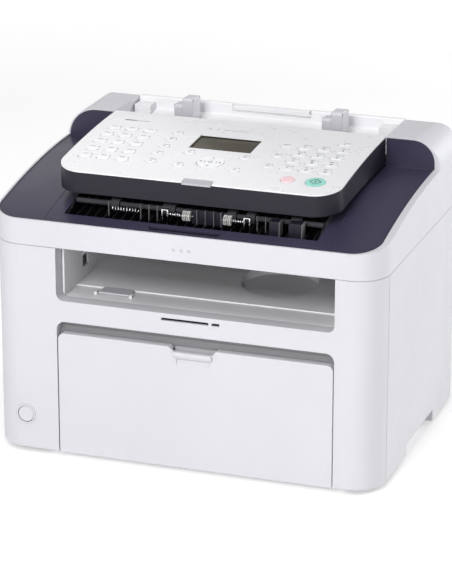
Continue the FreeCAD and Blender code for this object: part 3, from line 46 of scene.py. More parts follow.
class Shader:
    """A node material with its Principled shader and short ways to add nodes."""

    def __init__(self, name, colour, roughness, metallic=0.0, specular=0.5):
        self.material = bpy.data.materials.new(name)
        self.material.use_nodes = True
        self.tree = self.material.node_tree
        self.tree.nodes.clear()
        output = self.tree.nodes.new("ShaderNodeOutputMaterial")
        self.main = self.tree.nodes.new("ShaderNodeBsdfPrincipled")
        self.tree.links.new(self.main.outputs["BSDF"], output.inputs["Surface"])
        self.colour = colour
        self.roughness = roughness
        self.main.inputs["Base Color"].default_value = (*colour, 1)
        self.main.inputs["Roughness"].default_value = roughness
        self.main.inputs["Metallic"].default_value = metallic
        self.main.inputs["Specular IOR Level"].default_value = specular
        self.place = self.tree.nodes.new("ShaderNodeTexCoord").outputs["Object"]

    def add(self, kind, **values):
        made = self.tree.nodes.new(kind)
        for key, value in values.items():
            setattr(made, key, value)
        return made

    def link(self, start, end):
        self.tree.links.new(start, end)

    def stretched(self, scale):
        """The object's coordinates, stretched by a different factor on each axis."""
        mapping = self.add("ShaderNodeMapping")
        mapping.inputs["Scale"].default_value = scale
        self.link(self.place, mapping.inputs["Vector"])
        return mapping.outputs["Vector"]

    def noise(self, scale, detail=2.0, vector=None):
        made = self.add("ShaderNodeTexNoise")
        made.inputs["Scale"].default_value = scale
        made.inputs["Detail"].default_value = detail
        self.link(vector or self.place, made.inputs["Vector"])
        return made.outputs["Fac"]

    def spread(self, value, low, high, start=0.3, end=0.7):
        """Map a texture's value to the range low to high."""
        made = self.add("ShaderNodeMapRange")
        made.inputs["From Min"].default_value = start
        made.inputs["From Max"].default_value = end
        made.inputs["To Min"].default_value = low
        made.inputs["To Max"].default_value = high
        self.link(value, made.inputs["Value"])
        return made.outputs["Result"]

    def blend(self, share, one, two):
        """One colour to the other by share; either may be a colour or a socket."""
        made = self.add("ShaderNodeMix", data_type="RGBA")
        self.link(share, made.inputs["Factor"])
        for socket, value in ((made.inputs[6], one), (made.inputs[7], two)):
            if isinstance(value, tuple):
                socket.default_value = (*value, 1)
            else:
                self.link(value, socket)
        return made.outputs[2]

    def vary_colour(self, scale, amount):
        """Slow drift of the base colour, lighter and darker by amount."""
        dark = tuple(part * (1 - amount) for part in self.colour)
        light = tuple(min(1, part * (1 + amount)) for part in self.colour)
        drift = self.spread(self.noise(scale, 3), 0, 1)
        self.link(self.blend(drift, dark, light), self.main.inputs["Base Color"])

    def vary_roughness(self, scale, amount):
        value = self.spread(self.noise(scale, 4), self.roughness - amount, self.roughness + amount)
        self.link(value, self.main.inputs["Roughness"])

    def bump(self, height, strength, distance, edge=0.0):
        """Surface relief; an edge radius also lets sharp edges catch light as if rounded."""
        made = self.add("ShaderNodeBump")
        if edge:
            rounded = self.add("ShaderNodeBevel", samples=6)
            rounded.inputs["Radius"].default_value = edge
            self.link(rounded.outputs["Normal"], made.inputs["Normal"])
        made.inputs["Strength"].default_value = strength
        made.inputs["Distance"].default_value = distance
        self.link(height, made.inputs["Height"])
        self.link(made.outputs["Normal"], self.main.inputs["Normal"])


def moulded(name, colour, roughness, grain=1400, depth=0.12, drift=0.02, edge=0.0, specular=0.5):
    """Injection-moulded plastic with a fine spark-eroded grain."""
    shader = Shader(name, colour, roughness, specular=specular)
    shader.vary_colour(9, drift)
    shader.vary_roughness(38, roughness * 0.12)
    shader.bump(shader.noise(grain, 3), depth, 0.00025, edge)
    return shader


def glossy(name, colour, roughness, coat=0.25, edge=0.0):
    """Smooth moulded plastic with faint waves from the mould."""
    shader = Shader(name, colour, roughness)
    shader.main.inputs["Coat Weight"].default_value = coat
    shader.main.inputs["Coat Roughness"].default_value = 0.12
    shader.vary_colour(7, 0.015)
    shader.vary_roughness(60, roughness * 0.15)
    shader.bump(shader.noise(220, 2), 0.05, 0.0002, edge)
    return shader


def brushed(name, colour, roughness, along):
    """Metal with drawn lines: the noise is stretched along one axis."""
    shader = Shader(name, colour, roughness, metallic=1.0)
    lines = shader.noise(900, 4, shader.stretched(along))
    shader.link(shader.spread(lines, roughness - 0.08, roughness + 0.12),
                shader.main.inputs["Roughness"])
    shader.vary_colour(22, 0.06)
    shader.bump(lines, 0.15, 0.0001)
    return shader


def rubber(name, colour, ridges=0.0):
    """Matt rubber; a ground roller has fine lines round it."""
    shader = Shader(name, colour, 0.78, specular=0.3)
    shader.vary_colour(40, 0.10)
    grain = shader.noise(2200, 2)
    if ridges:
        grain = shader.noise(ridges, 3, shader.stretched((1.0, 0.08, 0.08)))
    shader.bump(grain, 0.35, 0.0002)
    return shader


def circuit(name):
    """Green solder resist with paler copper tracks under it."""
    shader = Shader(name, (0.02, 0.13, 0.05), 0.35)
    bricks = shader.add("ShaderNodeTexBrick", offset=0.5)
    bricks.inputs["Scale"].default_value = 90
    bricks.inputs["Mortar Size"].default_value = 0.09
    bricks.inputs["Color1"].default_value = (0.02, 0.12, 0.05, 1)
    bricks.inputs["Color2"].default_value = (0.025, 0.16, 0.07, 1)
    bricks.inputs["Mortar"].default_value = (0.06, 0.27, 0.12, 1)
    shader.link(shader.stretched((1.0, 1.0, 1.7)), bricks.inputs["Vector"])
    shader.link(bricks.outputs["Color"], shader.main.inputs["Base Color"])
    shader.bump(bricks.outputs["Fac"], 0.2, 0.0001)
    return shader


def display(name):
    """Unlit liquid-crystal screen: olive brown, drifting a little, with a fine dot grid."""
    shader = Shader(name, (0.040, 0.031, 0.015), 0.35, specular=0.25)
    shader.main.inputs["Coat Weight"].default_value = 0.15
    shader.main.inputs["Coat Roughness"].default_value = 0.08
    shader.vary_colour(24, 0.12)
    dots = shader.add("ShaderNodeTexChecker")
    dots.inputs["Scale"].default_value = 1500
    shader.link(shader.place, dots.inputs["Vector"])
    shader.bump(dots.outputs["Fac"], 0.04, 0.00005)
    return shader


def clear(name, colour, roughness):
    """Frosted translucent plastic."""
    shader = glossy(name, colour, roughness)
    shader.main.inputs["Transmission Weight"].default_value = 0.35
    shader.main.inputs["IOR"].default_value = 1.5
    return shader


COVER = moulded("cover_white", (0.55, 0.55, 0.585), 0.42, edge=0.8 * MM)
PANEL = glossy("panel_white", (0.76, 0.76, 0.78), 0.30, coat=0.15, edge=0.5 * MM)
DECK = moulded("deck_navy", (0.036, 0.033, 0.062), 0.32, grain=1700, depth=0.08, drift=0.05,
               edge=0.5 * MM,
               specular=0.3)
TUB = moulded("panel_dark", (0.013, 0.0115, 0.020), 0.34, grain=1700, depth=0.08, drift=0.05,
              edge=0.5 * MM,
              specular=0.3)
GUIDE = moulded("guide_black", (0.010, 0.010, 0.012), 0.30, grain=1500, depth=0.1, drift=0.1,
                edge=0.3 * MM)
TRAY = moulded("tray_grey", (0.80, 0.80, 0.82), 0.38, edge=0.5 * MM)
DARK = moulded("dark_plastic", (0.028, 0.028, 0.031), 0.5, drift=0.08, edge=0.4 * MM)
INNER = moulded("inner_grey", (0.20, 0.20, 0.21), 0.5, drift=0.05, edge=0.4 * MM)
STEEL = brushed("steel", (0.60, 0.61, 0.63), 0.30, (1.0, 0.05, 1.0))
SHAFT = brushed("roller_steel", (0.20, 0.20, 0.215), 0.30, (0.05, 1.0, 1.0))
CHROME = brushed("spring_chrome", (0.86, 0.87, 0.90), 0.12, (0.3, 1.0, 1.0))
BRASS = brushed("contact_brass", (0.80, 0.56, 0.22), 0.25, (1.0, 0.2, 1.0))
RUBBER_BLACK = rubber("rubber_black", (0.014, 0.014, 0.014))
RUBBER_GREY = rubber("rubber_grey", (0.045, 0.045, 0.052), ridges=500)
RUBBER_WHITE = rubber("rubber_white", (0.62, 0.62, 0.60), ridges=400)
DRUM = glossy("drum_green", (0.01, 0.20, 0.16), 0.12, coat=0.8)
BOARD = circuit("circuit_board")
SCREEN = display("lcd_glass")
KEY = glossy("key_white", (0.80, 0.805, 0.83), 0.26, edge=0.3 * MM)
KEY_GREEN = glossy("key_green", (0.30, 0.66, 0.58), 0.24, edge=0.5 * MM)
KEY_RED = glossy("key_red", (0.84, 0.60, 0.63), 0.26, edge=0.5 * MM)
TAB = clear("tab_clear", (0.62, 0.62, 0.66), 0.28)
GEAR = moulded("gear_white", (0.72, 0.72, 0.69), 0.35)
INK = moulded("print_grey", (0.030, 0.031, 0.034), 0.55, drift=0.06)
INK_PALE = moulded("print_pale", (0.16, 0.165, 0.17), 0.55, drift=0.06)


# ---------------------------------------------------------------- CAD nodes

FINISH = {
    COVER: ("front_cover", "left_side_cover", "right_side_cover", "rear_panel", "rear_access_door",
            "tray_door",
            "upper_cover", "paper_stopper", "power_button", "document_guide_left",
            "document_guide_right"),
    PANEL: ("panel_cover",),
    DECK: ("top_deck", "exit_frame"),
    TUB: ("panel_base",),
    GUIDE: ("adf_lower_guide",),
    TRAY: ("output_tray", "base_frame", "document_tray", "tray_flap"),
    DARK: ("toner_cartridge", "laser_scanner", "fuser_frame", "mains_inlet", "line_jacks",
           "speaker",
           "image_sensor"),
    INNER: ("feed_tray", "paper_guide_left", "paper_guide_right"),
    STEEL: ("case_screws", "lift_plate", "left_frame", "right_frame", "main_motor"),
    SHAFT: ("hinge_pins",),
    RUBBER_BLACK: ("rubber_feet", "transfer_roller", "pressure_roller"),
    RUBBER_GREY: ("pickup_roller", "registration_roller", "heat_roller", "delivery_roller",
                  "adf_eject_roller",
                  "adf_feed_roller"),
    RUBBER_WHITE: ("platen_roller",),
    DRUM: ("photosensitive_drum",),
    BOARD: ("main_board", "power_supply_board", "panel_board"),
    SCREEN: ("lcd_window",),
    KEY: ("one_touch_keys", "number_keys", "function_keys", "navigation_ring", "ok_key"),
    KEY_GREEN: ("start_key",),
    KEY_RED: ("stop_key",),
    TAB: ("panel_tab",),
    GEAR: ("motor_pinion",),
}
for shader, names in FINISH.items():
    for name in names:
        mesh = nodes[name].data
        mesh.materials.clear()
        mesh.materials.append(shader.material)

SOFT_EDGES = {
    "tray_flap": 0.4, "document_guide_left": 0.8, "document_guide_right": 0.8, "paper_stopper": 0.3,
    "panel_tab": 0.4, "start_key": 0.5, "stop_key": 0.4, "ok_key": 0.3,
}
EDGE_ANGLE = math.radians(38)


def soften(piece, width):
    """Round the sharp edges of a piece by width, in metres, with a modifier."""
    weld = piece.modifiers.new("weld", "WELD")
    weld.merge_threshold = 0.000002
    bevel = piece.modifiers.new("edge", "BEVEL")
    bevel.width = width
    bevel.segments = 2
    bevel.limit_method = "ANGLE"
    bevel.angle_limit = EDGE_ANGLE
    bevel.use_clamp_overlap = False
    bevel.miter_outer = "MITER_ARC"
    normals = piece.modifiers.new("normals", "WEIGHTED_NORMAL")
    normals.keep_sharp = False
    normals.weight = 80


for name, width in SOFT_EDGES.items():
    soften(nodes[name], width * MM)


# ---------------------------------------------------------------- building blocks for pieces

MERGE_DISTANCE = 0.000005
UPRIGHT = Matrix.Identity(4)


def add_piece(name, mesh, shader, body, smooth=True):
    """Link a mesh as a piece that rides on a CAD body."""
    piece = bpy.data.objects.new(name, mesh)
    bpy.context.scene.collection.objects.link(piece)
    mesh.materials.append(shader.material)
    for face in mesh.polygons:
        face.use_smooth = smooth
    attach(piece, body)
    return piece


def mesh_of(name, bm):
    mesh = bpy.data.meshes.new(name)
    bmesh.ops.recalc_face_normals(bm, faces=bm.faces)
    bm.to_mesh(mesh)
    bm.free()
    return mesh


def add_flat(name, bm, shader, body):
    """Make a flat-shaded piece of a bmesh."""
    return add_piece(name, mesh_of(name, bm), shader, body, smooth=False)


def middle(box):
    return (box[0] + box[1]) / 2


def islands(name):
    """Boxes of a node's separate solids, in the row frame."""
    mesh = nodes[name].data
    bm = bmesh.new()
    bm.from_mesh(mesh)
    bmesh.ops.remove_doubles(bm, verts=bm.verts, dist=MERGE_DISTANCE)
    left = set(bm.verts)
    boxes = []
    while left:
        group = [left.pop()]
        for vertex in group:
            for edge in vertex.link_edges:
                other = edge.other_vert(vertex)
                if other in left:
                    left.remove(other)
                    group.append(other)
        points = [vertex.co for vertex in group]
        low = Vector([min(point[axis] for point in points) for axis in range(3)])
        high = Vector([max(point[axis] for point in points) for axis in range(3)])
        boxes.append((low, high))
    bm.free()
    return sorted(boxes, key=lambda box: (round(-box[0].y, 3), box[0].x))


def tree_of(*names):
    """One ray-cast tree over several CAD nodes."""
    bm = bmesh.new()
    for name in names:
        bm.from_mesh(nodes[name].data)
    tree = BVHTree.FromBMesh(bm)
    bm.free()
    return tree


def lying(tree, x, y, lift):
    """Matrix that lays something flat on the surface at x, y, facing the front."""
    point, normal, _, _ = tree.ray_cast(Vector((x, y, 1.0)), Vector((0, 0, -1)))
    across = Vector((1, 0, 0))
    along = normal.cross(across).normalized()
    turn = Matrix((across, along, normal)).transposed().to_4x4()
    return Matrix.Translation(point + normal * lift) @ turn


def add_block(bm, matrix, size, centre=(0, 0, 0)):
    """A small box inside a bmesh, in the matrix's own axes."""
    corners = bmesh.ops.create_cube(bm, size=1)["verts"]
    for vertex in corners:
        vertex.co = matrix @ Vector([centre[axis] + vertex.co[axis] * size[axis]
                                     for axis in range(3)])


def add_ring(bm, matrix, inner, outer, height, sides=32):
    """A flat ring lying in the matrix's XY plane."""
    loops = []
    for radius, z in ((inner, 0), (outer, 0), (outer, height), (inner, height)):
        loops.append([bm.verts.new(matrix @ Vector((radius * math.cos(2 * math.pi * turn / sides),
                                                   radius * math.sin(2 * math.pi * turn / sides),
                                                   z)))
                      for turn in range(sides)])
    for place, loop in enumerate(loops):
        following = loops[(place + 1) % 4]
        for turn in range(sides):
            after = (turn + 1) % sides
            bm.faces.new((loop[turn], loop[after], following[after], following[turn]))


def add_glyph(bm, matrix, text, size):
    """Add a character's flat mesh, centred, to a bmesh."""
    curve = bpy.data.curves.new("glyph", "FONT")
    curve.body = text
    curve.size = size
    curve.align_x = "CENTER"
    curve.align_y = "CENTER"
    curve.extrude = 0.02 * MM
    letter = bpy.data.objects.new("glyph", curve)
    mesh = bpy.data.meshes.new_from_object(letter)
    mesh.transform(matrix)
    bm.from_mesh(mesh)
    bpy.data.objects.remove(letter)
    bpy.data.curves.remove(curve)
    bpy.data.meshes.remove(mesh)


def add_wheel(bm, x0, x1, y, z, profile):
    """A closed wheel about an axis along X; profile gives the radius for each turn."""
    rims = []
    for x in (x0, x1):
        rims.append([bm.verts.new((x, y + radius * math.cos(2 * math.pi * turn / len(profile)),
                                   z + radius * math.sin(2 * math.pi * turn / len(profile))))
                     for turn, radius in enumerate(profile)])
    bm.faces.new(rims[0])
    bm.faces.new(rims[1])
    for turn in range(len(profile)):
        after = (turn + 1) % len(profile)
        bm.faces.new((rims[0][turn], rims[0][after], rims[1][after], rims[1][turn]))


def wire(name, points, radius, shader, body):
    """A bent round wire through points."""
    curve = bpy.data.curves.new(name, "CURVE")
    curve.dimensions = "3D"
    curve.bevel_depth = radius
    curve.bevel_resolution = 3
    curve.use_fill_caps = True
    spline = curve.splines.new("NURBS")
    spline.points.add(len(points) - 1)
    for point, place in zip(spline.points, points):
        point.co = (*place, 1)
    spline.order_u = 3
    spline.use_endpoint_u = True
    holder = bpy.data.objects.new(name, curve)
    mesh = bpy.data.meshes.new_from_object(holder)
    bpy.data.objects.remove(holder)
    bpy.data.curves.remove(curve)
    mesh.name = name
    return add_piece(name, mesh, shader, body)


# ---------------------------------------------------------------- print on the operation panel

HAIR = 0.04 * MM            # gap under the print
INK_HEIGHT = 0.05 * MM
panel_tree = tree_of("panel_cover", "one_touch_keys", "number_keys", "function_keys", "start_key",
                     "stop_key",
                     "navigation_ring", "ok_key", "lcd_window")


def number_legends():
    """Digits on the number keys, with a short dash for the letters above each."""
    digits = bmesh.new()
    dashes = bmesh.new()
    for box, text in zip(islands("number_keys"), "123456789*0#"):
        centre = middle(box)
        add_glyph(digits, lying(panel_tree, centre.x, centre.y, HAIR), text, 5.2 * MM)
        mark = lying(panel_tree, centre.x - 1 * MM, box[1].y + 2.6 * MM, HAIR)
        add_block(dashes, mark, (4.6 * MM, 0.7 * MM, INK_HEIGHT))
        add_block(dashes, mark, (1.6 * MM, 0.9 * MM, INK_HEIGHT), (4.6 * MM, 0, 0))
    add_flat("number_digits", digits, INK, "number_keys")
    add_flat("number_dashes", dashes, INK, "operation_panel")


def one_touch_legends():
    """A dash and a dot above each one-touch key."""
    bm = bmesh.new()
    for box in islands("one_touch_keys"):
        centre = middle(box)
        mark = lying(panel_tree, centre.x, box[1].y + 2.7 * MM, HAIR)
        add_block(bm, mark, (5.2 * MM, 0.55 * MM, INK_HEIGHT), (-1.5 * MM, 0, 0))
        add_block(bm, mark, (1.3 * MM, 1.2 * MM, INK_HEIGHT), (4.6 * MM, -0.2 * MM, 0))
    add_flat("one_touch_marks", bm, INK, "operation_panel")


def function_legends():
    """A small sign on each function key and a dash beside it."""
    on_keys = bmesh.new()
    beside = bmesh.new()
    for turn, box in enumerate(islands("function_keys")):
        centre = middle(box)
        sign = lying(panel_tree, centre.x, centre.y, HAIR)
        if turn % 2:
            add_ring(on_keys, sign, 0.8 * MM, 1.2 * MM, INK_HEIGHT, 20)
        else:
            add_block(on_keys, sign, (2.6 * MM, 0.5 * MM, INK_HEIGHT))
            add_block(on_keys, sign, (0.5 * MM, 1.8 * MM, INK_HEIGHT))
        mark = lying(panel_tree, centre.x - 0.5 * MM, box[1].y + 2.4 * MM, HAIR)
        add_block(beside, mark, (3.8 * MM, 0.6 * MM, INK_HEIGHT))
        add_block(beside, mark, (1.2 * MM, 1.0 * MM, INK_HEIGHT), (3.6 * MM, 0, 0))
    add_flat("function_signs", on_keys, INK_PALE, "function_keys")
    add_flat("function_dashes", beside, INK, "operation_panel")


def ring_legends():
    """Four arrowheads on the navigation ring and a small ring on the key in its middle."""
    low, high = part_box("navigation_ring")
    centre = (low + high) / 2
    reach = (high.x - low.x) / 2 * 0.74
    arrows = bmesh.new()
    for turn in range(4):
        angle = turn * math.pi / 2
        x = centre.x + reach * math.cos(angle)
        y = centre.y + reach * math.sin(angle)
        place = lying(panel_tree, x, y, HAIR) @ Matrix.Rotation(angle, 4, "Z")
        corners = [(1.3, 0), (-0.8, 1.2), (-0.8, -1.2)]
        top = [arrows.verts.new(place @ Vector((u * MM, v * MM, INK_HEIGHT))) for u, v in corners]
        foot = [arrows.verts.new(place @ Vector((u * MM, v * MM, 0))) for u, v in corners]
        arrows.faces.new(top)
        arrows.faces.new(foot)
        for side in range(3):
            after = (side + 1) % 3
            arrows.faces.new((top[side], top[after], foot[after], foot[side]))
    add_flat("ring_arrows", arrows, INK, "navigation_ring")
    sign = bmesh.new()
    centre = middle(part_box("ok_key"))
    add_ring(sign, lying(panel_tree, centre.x, centre.y, HAIR), 1.5 * MM, 2.0 * MM, INK_HEIGHT)
    add_flat("ok_sign", sign, INK, "ok_key")


def large_key_signs():
    """A bar in a diamond for start, a square for stop."""
    centre = middle(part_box("start_key"))
    place = lying(panel_tree, centre.x, centre.y, HAIR)
    bm = bmesh.new()
    add_block(bm, place, (0.9 * MM, 4.6 * MM, INK_HEIGHT))
    tilted = place @ Matrix.Rotation(math.pi / 4, 4, "Z")
    for turn in range(4):
        side = tilted @ Matrix.Rotation(turn * math.pi / 2, 4, "Z")
        add_block(bm, side, (0.8 * MM, 7.4 * MM, INK_HEIGHT), (3.7 * MM, 0, 0))
    add_flat("start_sign", bm, INK, "start_key")
    centre = middle(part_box("stop_key"))
    bm = bmesh.new()
    add_block(bm, lying(panel_tree, centre.x, centre.y, HAIR), (3.4 * MM, 3.4 * MM, INK_HEIGHT))
    add_flat("stop_sign", bm, KEY_RED, "stop_key")


def panel_print():
    """Plain rules at the upper left and above the screen, and two lamps."""
    screen_low, screen_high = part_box("lcd_window")
    key_low, key_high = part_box("one_touch_keys")
    bm = bmesh.new()
    rule = lying(panel_tree, key_low.x + 19 * MM, key_high.y + 24 * MM, HAIR)
    add_block(bm, rule, (25 * MM, 0.9 * MM, INK_HEIGHT))
    add_block(bm, rule, (11 * MM, 2.2 * MM, INK_HEIGHT), (-6 * MM, 0, 0))
    rule = lying(panel_tree, screen_low.x + 26 * MM, screen_high.y + 18 * MM, HAIR)
    add_block(bm, rule, (22 * MM, 0.5 * MM, INK_HEIGHT), (4 * MM, 0, 0))
    for turn, length in enumerate((4.0, 2.4, 3.0, 2.4)):
        add_block(bm, rule, (length * MM, 1.1 * MM, INK_HEIGHT), ((-23 + 7.5 * turn) * MM,
                                                                  -0.3 * MM, 0))
    add_flat("panel_rules", bm, INK_PALE, "operation_panel")
    lamps = bmesh.new()
    for turn in range(2):
        x = screen_high.x + (7 + 8 * turn) * MM
        place = lying(panel_tree, x, screen_high.y + 6 * MM, -0.2 * MM)
        bmesh.ops.create_uvsphere(lamps, u_segments=24, v_segments=12, radius=1.1 * MM,
                                  matrix=place @ Matrix.Diagonal((1, 1, 0.5, 1)))
    add_piece("panel_lamps", mesh_of("panel_lamps", lamps), TAB, "operation_panel")


number_legends()
one_touch_legends()
function_legends()
ring_legends()
large_key_signs()
panel_print()


# ---------------------------------------------------------------- document exit

eject_low, eject_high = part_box("adf_eject_roller")
eject_y = (eject_low.y + eject_high.y) / 2
eject_z = (eject_low.z + eject_high.z) / 2
spring_y = eject_y - 12 * MM
spring_z = eject_z - 0.5 * MM
STAR_PLACES = (-8, -4, 31, 35)
CLIP_PLACES = (-26, 52)
BLADE_PLACES = (-81, -50, -42, -34, 4, 12, 20, 27, 61, 69)
STOP_PLACES = (83.3, 104.3)
AXLES = ((-24, 0), (27, 50))
AXLE_RADIUS = 0.6 * MM
SPRINGS = ((-78, -53, 9, 2.2), (-22, -11, 5, 1.7), (38, 49, 5, 1.7))    # start, end, turns, radius
SPRING_WIRE = 0.35 * MM
COIL_STEPS = 8
WHEEL_TEETH = 14
WHEEL_TOOTH = (4.6, 3.9, 3.0, 3.5)      # radii along one tooth


def coil(name, x0, x1, turns, radius):
    """A coil spring about an axis along X, in front of the eject roller."""
    points = []
    steps = turns * COIL_STEPS
    for step in range(steps + 1):
        angle = 2 * math.pi * step / COIL_STEPS
        x = (x0 + (x1 - x0) * step / steps) * MM
        points.append((x, spring_y + radius * math.cos(angle), spring_z + radius * math.sin(angle)))
    wire(name, points, SPRING_WIRE, CHROME, "upper_unit")


def exit_wheels():
    """Thin toothed wheels on a wire axle in front of the eject roller, between two coil springs."""
    profile = [radius * MM for radius in WHEEL_TOOTH * WHEEL_TEETH]
    bm = bmesh.new()
    for x in STAR_PLACES:
        for side in (-1.2, 0.7):
            add_wheel(bm, (x + side) * MM, (x + side + 0.5) * MM, spring_y, spring_z, profile)
        add_wheel(bm, (x - 1.4) * MM, (x + 1.4) * MM, spring_y, spring_z, [1.3 * MM] * 24)
    add_flat("exit_wheels", bm, GEAR, "upper_unit")
    for turn, (x0, x1) in enumerate(AXLES):
        wire("exit_axle_%d" % turn, [(x0 * MM, spring_y, spring_z), (x1 * MM, spring_y, spring_z)],
             AXLE_RADIUS, CHROME, "upper_unit")
    for turn, (x0, x1, turns, radius) in enumerate(SPRINGS):
        coil("exit_spring_%d" % turn, x0, x1, turns, radius * MM)


def exit_clips():
    """Bright bent clips that hold the wheel axle."""
    bm = bmesh.new()
    for x in CLIP_PLACES:
        for side in (-2.6, 2.6):
            add_block(bm, UPRIGHT, (1.0 * MM, 3 * MM, 11 * MM),
                      ((x + side) * MM, spring_y - 1.5 * MM, spring_z - 1.5 * MM))
        add_block(bm, UPRIGHT, (6.2 * MM, 3 * MM, 0.8 * MM), (x * MM, spring_y - 1.5 * MM,
                                                              spring_z + 4.4 * MM))
    add_flat("exit_clips", bm, CHROME, "upper_unit")


def exit_blades():
    """Thin upright blades, a low wall between the wheels and two broad stops at the right."""
    blades = bmesh.new()
    for x in BLADE_PLACES:
        add_block(blades, UPRIGHT, (0.35 * MM, 3 * MM, 14 * MM), (x * MM, spring_y,
                                                                  spring_z - 0.5 * MM))
    for x in STOP_PLACES:
        add_block(blades, UPRIGHT, (0.5 * MM, 10 * MM, 14 * MM), (x * MM, spring_y - 1 * MM,
                                                                  spring_z - 2 * MM))
    add_flat("exit_blades", blades, INNER, "upper_unit")
    walls = bmesh.new()
    add_block(walls, UPRIGHT, (30 * MM, 2 * MM, 13 * MM), (13 * MM, spring_y + 2.6 * MM,
                                                           spring_z - 1 * MM))
    for x0, x1 in ((74, 83), (92, 104)):
        add_block(walls, UPRIGHT, ((x1 - x0) * MM, 10 * MM, 14 * MM),
                  ((x0 + x1) / 2 * MM, spring_y - 1 * MM, spring_z - 2 * MM))
    add_flat("exit_walls", walls, TUB, "upper_unit")


exit_wheels()
exit_clips()
exit_blades()


# ---------------------------------------------------------------- seals beside the panel

def panel_seals():
    """Dark strips that close the gap between the panel's rear corners and the hump."""
    low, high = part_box("panel_base")
    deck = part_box("top_deck")[1]
    bm = bmesh.new()
    for x in (low.x - 0.25 * MM, high.x + 0.25 * MM):
        add_block(bm, UPRIGHT, (0.34 * MM, 2.4 * MM, 25.6 * MM),
                  (x, deck.y - 1.5 * MM, deck.z - 12.9 * MM))
    add_flat("panel_seals", bm, DECK, "upper_unit")


def slot_shade_strip():
    """Black strip under the long slot in the front bar: painted shade that darkens the inside of
    the slot.
    """
    low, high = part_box("exit_frame")
    bm = bmesh.new()
    add_block(bm, UPRIGHT, (72 * MM, 9.5 * MM, 1.2 * MM),
              (0, low.y + 6.5 * MM, low.z - 1.5 * MM))
    add_flat("slot_shade_strip", bm, GUIDE, "upper_unit")


panel_seals()
slot_shade_strip()


# ---------------------------------------------------------------- sockets

def jack_contacts():
    """Four sprung wires in each telephone jack."""
    low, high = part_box("line_jacks")
    for jack in range(3):
        for pin in range(4):
            x = low.x + (3.9 + 13 * jack + 1.3 * pin) * MM
            points = [(x, low.y + 4 * MM, low.z + 4.0 * MM), (x, low.y + 9 * MM, low.z + 4.2 * MM),
                      (x, low.y + 12 * MM, low.z + 7.2 * MM)]
            wire("jack_wire_%d_%d" % (jack, pin), points, 0.25 * MM, BRASS, "lower_unit")


jack_contacts()


# ---------------------------------------------------------------- door recess

LINER_STEPS = ((-12.0, 0.0, 0.4), (-12.0, -4.6, 0.8), (-12.0, -7.4, 1.2))    # foot, top, depth


def recess_shade_liner():
    """Grey strip with a shallow step behind the gap over the tray door: partly the dark inside seen
    through the gap, partly painted shade for the recess.
    """
    door_low, door_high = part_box("tray_door")
    back = door_low.y + 12.4 * MM
    left = door_low.x + 9 * MM
    right = door_high.x - 9 * MM
    head = door_high.z + 10.6 * MM
    bm = bmesh.new()
    for foot, top, depth in LINER_STEPS:
        low_z = head + foot * MM
        high_z = head + top * MM
        add_block(bm, UPRIGHT, (right - left, depth * MM, high_z - low_z),
                  ((left + right) / 2, back - depth * MM / 2, (low_z + high_z) / 2))
    add_flat("recess_shade_liner", bm, INNER, "lower_unit")


recess_shade_liner()


# ---------------------------------------------------------------- studio

SENSOR_WIDTH = 36
LENS = 172.6
CAMERA_PLACE = (0.8154, -2.3605, 1.0055)
CAMERA_DOWN = 19.36         # degrees below the horizon
CAMERA_TURN = 19.2          # degrees to the right of the front
FLOOR_SHADE = (0.62, 0.62, 0.62)
FLOOR_GLOW = (("From Min", 1.2), ("From Max", 3.6), ("To Min", 0.42), ("To Max", 0.98))
SKY_HORIZON = 0.98
SKY_STEPS = ((0.12, 0.90), (0.28, 0.15))    # height and shade between horizon and top
SKY_TOP = (0.7, 0.26)
LIGHTS = (      # name, place, aim, width and depth, watts
    ("key_light", (-0.1, -2.6, 1.95), (0, 0, 0.15), (1.1, 0.8), 46),
    ("low_light", (0.0, -2.6, 1.05), (0, 0, 0.17), (0.9, 0.5), 16),
    ("top_light", (0.1, -0.8, 2.6), (0, 0, 0.2), (1.4, 1.2), 22),
    ("side_light", (2.1, 2.0, 1.1), (0, 0, 0.15), (1.1, 1.1), 56),
    ("rim_light", (-1.5, 2.1, 1.7), (0, 0, 0.22), (1.4, 1.2), 6),
)


def add_camera():
    data = bpy.data.cameras.new("camera")
    data.sensor_width = SENSOR_WIDTH
    data.lens = LENS
    camera = bpy.data.objects.new("camera", data)
    camera.location = CAMERA_PLACE
    camera.rotation_euler = (math.radians(90 - CAMERA_DOWN), 0, math.radians(CAMERA_TURN))
    bpy.context.scene.collection.objects.link(camera)
    bpy.context.scene.camera = camera


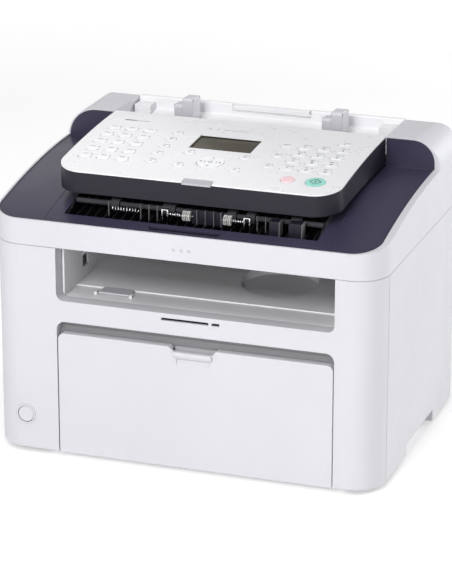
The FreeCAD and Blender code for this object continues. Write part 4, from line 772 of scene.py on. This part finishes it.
def add_light(name, place, aim, size, energy):
    data = bpy.data.lights.new(name, "AREA")
    data.shape = "RECTANGLE"
    data.size = size[0]
    data.size_y = size[1]
    data.energy = energy
    light = bpy.data.objects.new(name, data)
    light.location = place
    light.rotation_euler = (Vector(aim) - Vector(place)).to_track_quat("-Z", "Y").to_euler()
    bpy.context.scene.collection.objects.link(light)


def add_floor():
    """Pale seamless floor; its glow grows with the distance, so that it stays near white."""
    bm = bmesh.new()
    bmesh.ops.create_grid(bm, x_segments=8, y_segments=8, size=9)
    mesh = mesh_of("floor", bm)
    floor = bpy.data.objects.new("floor", mesh)
    bpy.context.scene.collection.objects.link(floor)
    shader = moulded("floor_paper", FLOOR_SHADE, 0.7, grain=300, depth=0.05, drift=0.01)
    shader.main.inputs["Emission Color"].default_value = (1, 1, 1, 1)
    reach = shader.add("ShaderNodeVectorMath", operation="LENGTH")
    shader.link(shader.place, reach.inputs[0])
    glow = shader.add("ShaderNodeMapRange")
    for key, value in FLOOR_GLOW:
        glow.inputs[key].default_value = value
    shader.link(reach.outputs["Value"], glow.inputs["Value"])
    shader.link(glow.outputs["Result"], shader.main.inputs["Emission Strength"])
    mesh.materials.append(shader.material)


def add_sky():
    """Soft surroundings: white at the horizon like the floor, dim above it."""
    world = bpy.data.worlds.new("studio")
    world.use_nodes = True
    tree = world.node_tree
    back = tree.nodes["Background"]
    place = tree.nodes.new("ShaderNodeTexCoord")
    split = tree.nodes.new("ShaderNodeSeparateXYZ")
    ramp = tree.nodes.new("ShaderNodeValToRGB")
    low, high = ramp.color_ramp.elements
    low.color = (SKY_HORIZON, SKY_HORIZON, SKY_HORIZON, 1)
    high.position = SKY_TOP[0]
    high.color = (SKY_TOP[1], SKY_TOP[1], SKY_TOP[1], 1)
    for place_up, shade in SKY_STEPS:
        ramp.color_ramp.elements.new(place_up).color = (shade, shade, shade, 1)
    tree.links.new(place.outputs["Generated"], split.inputs["Vector"])
    tree.links.new(split.outputs["Z"], ramp.inputs["Fac"])
    tree.links.new(ramp.outputs["Color"], back.inputs["Color"])
    back.inputs["Strength"].default_value = 1.0
    bpy.context.scene.world = world


add_camera()
add_floor()
add_sky()
for light in LIGHTS:
    add_light(*light)
bpy.context.scene.view_settings.view_transform = "Standard"
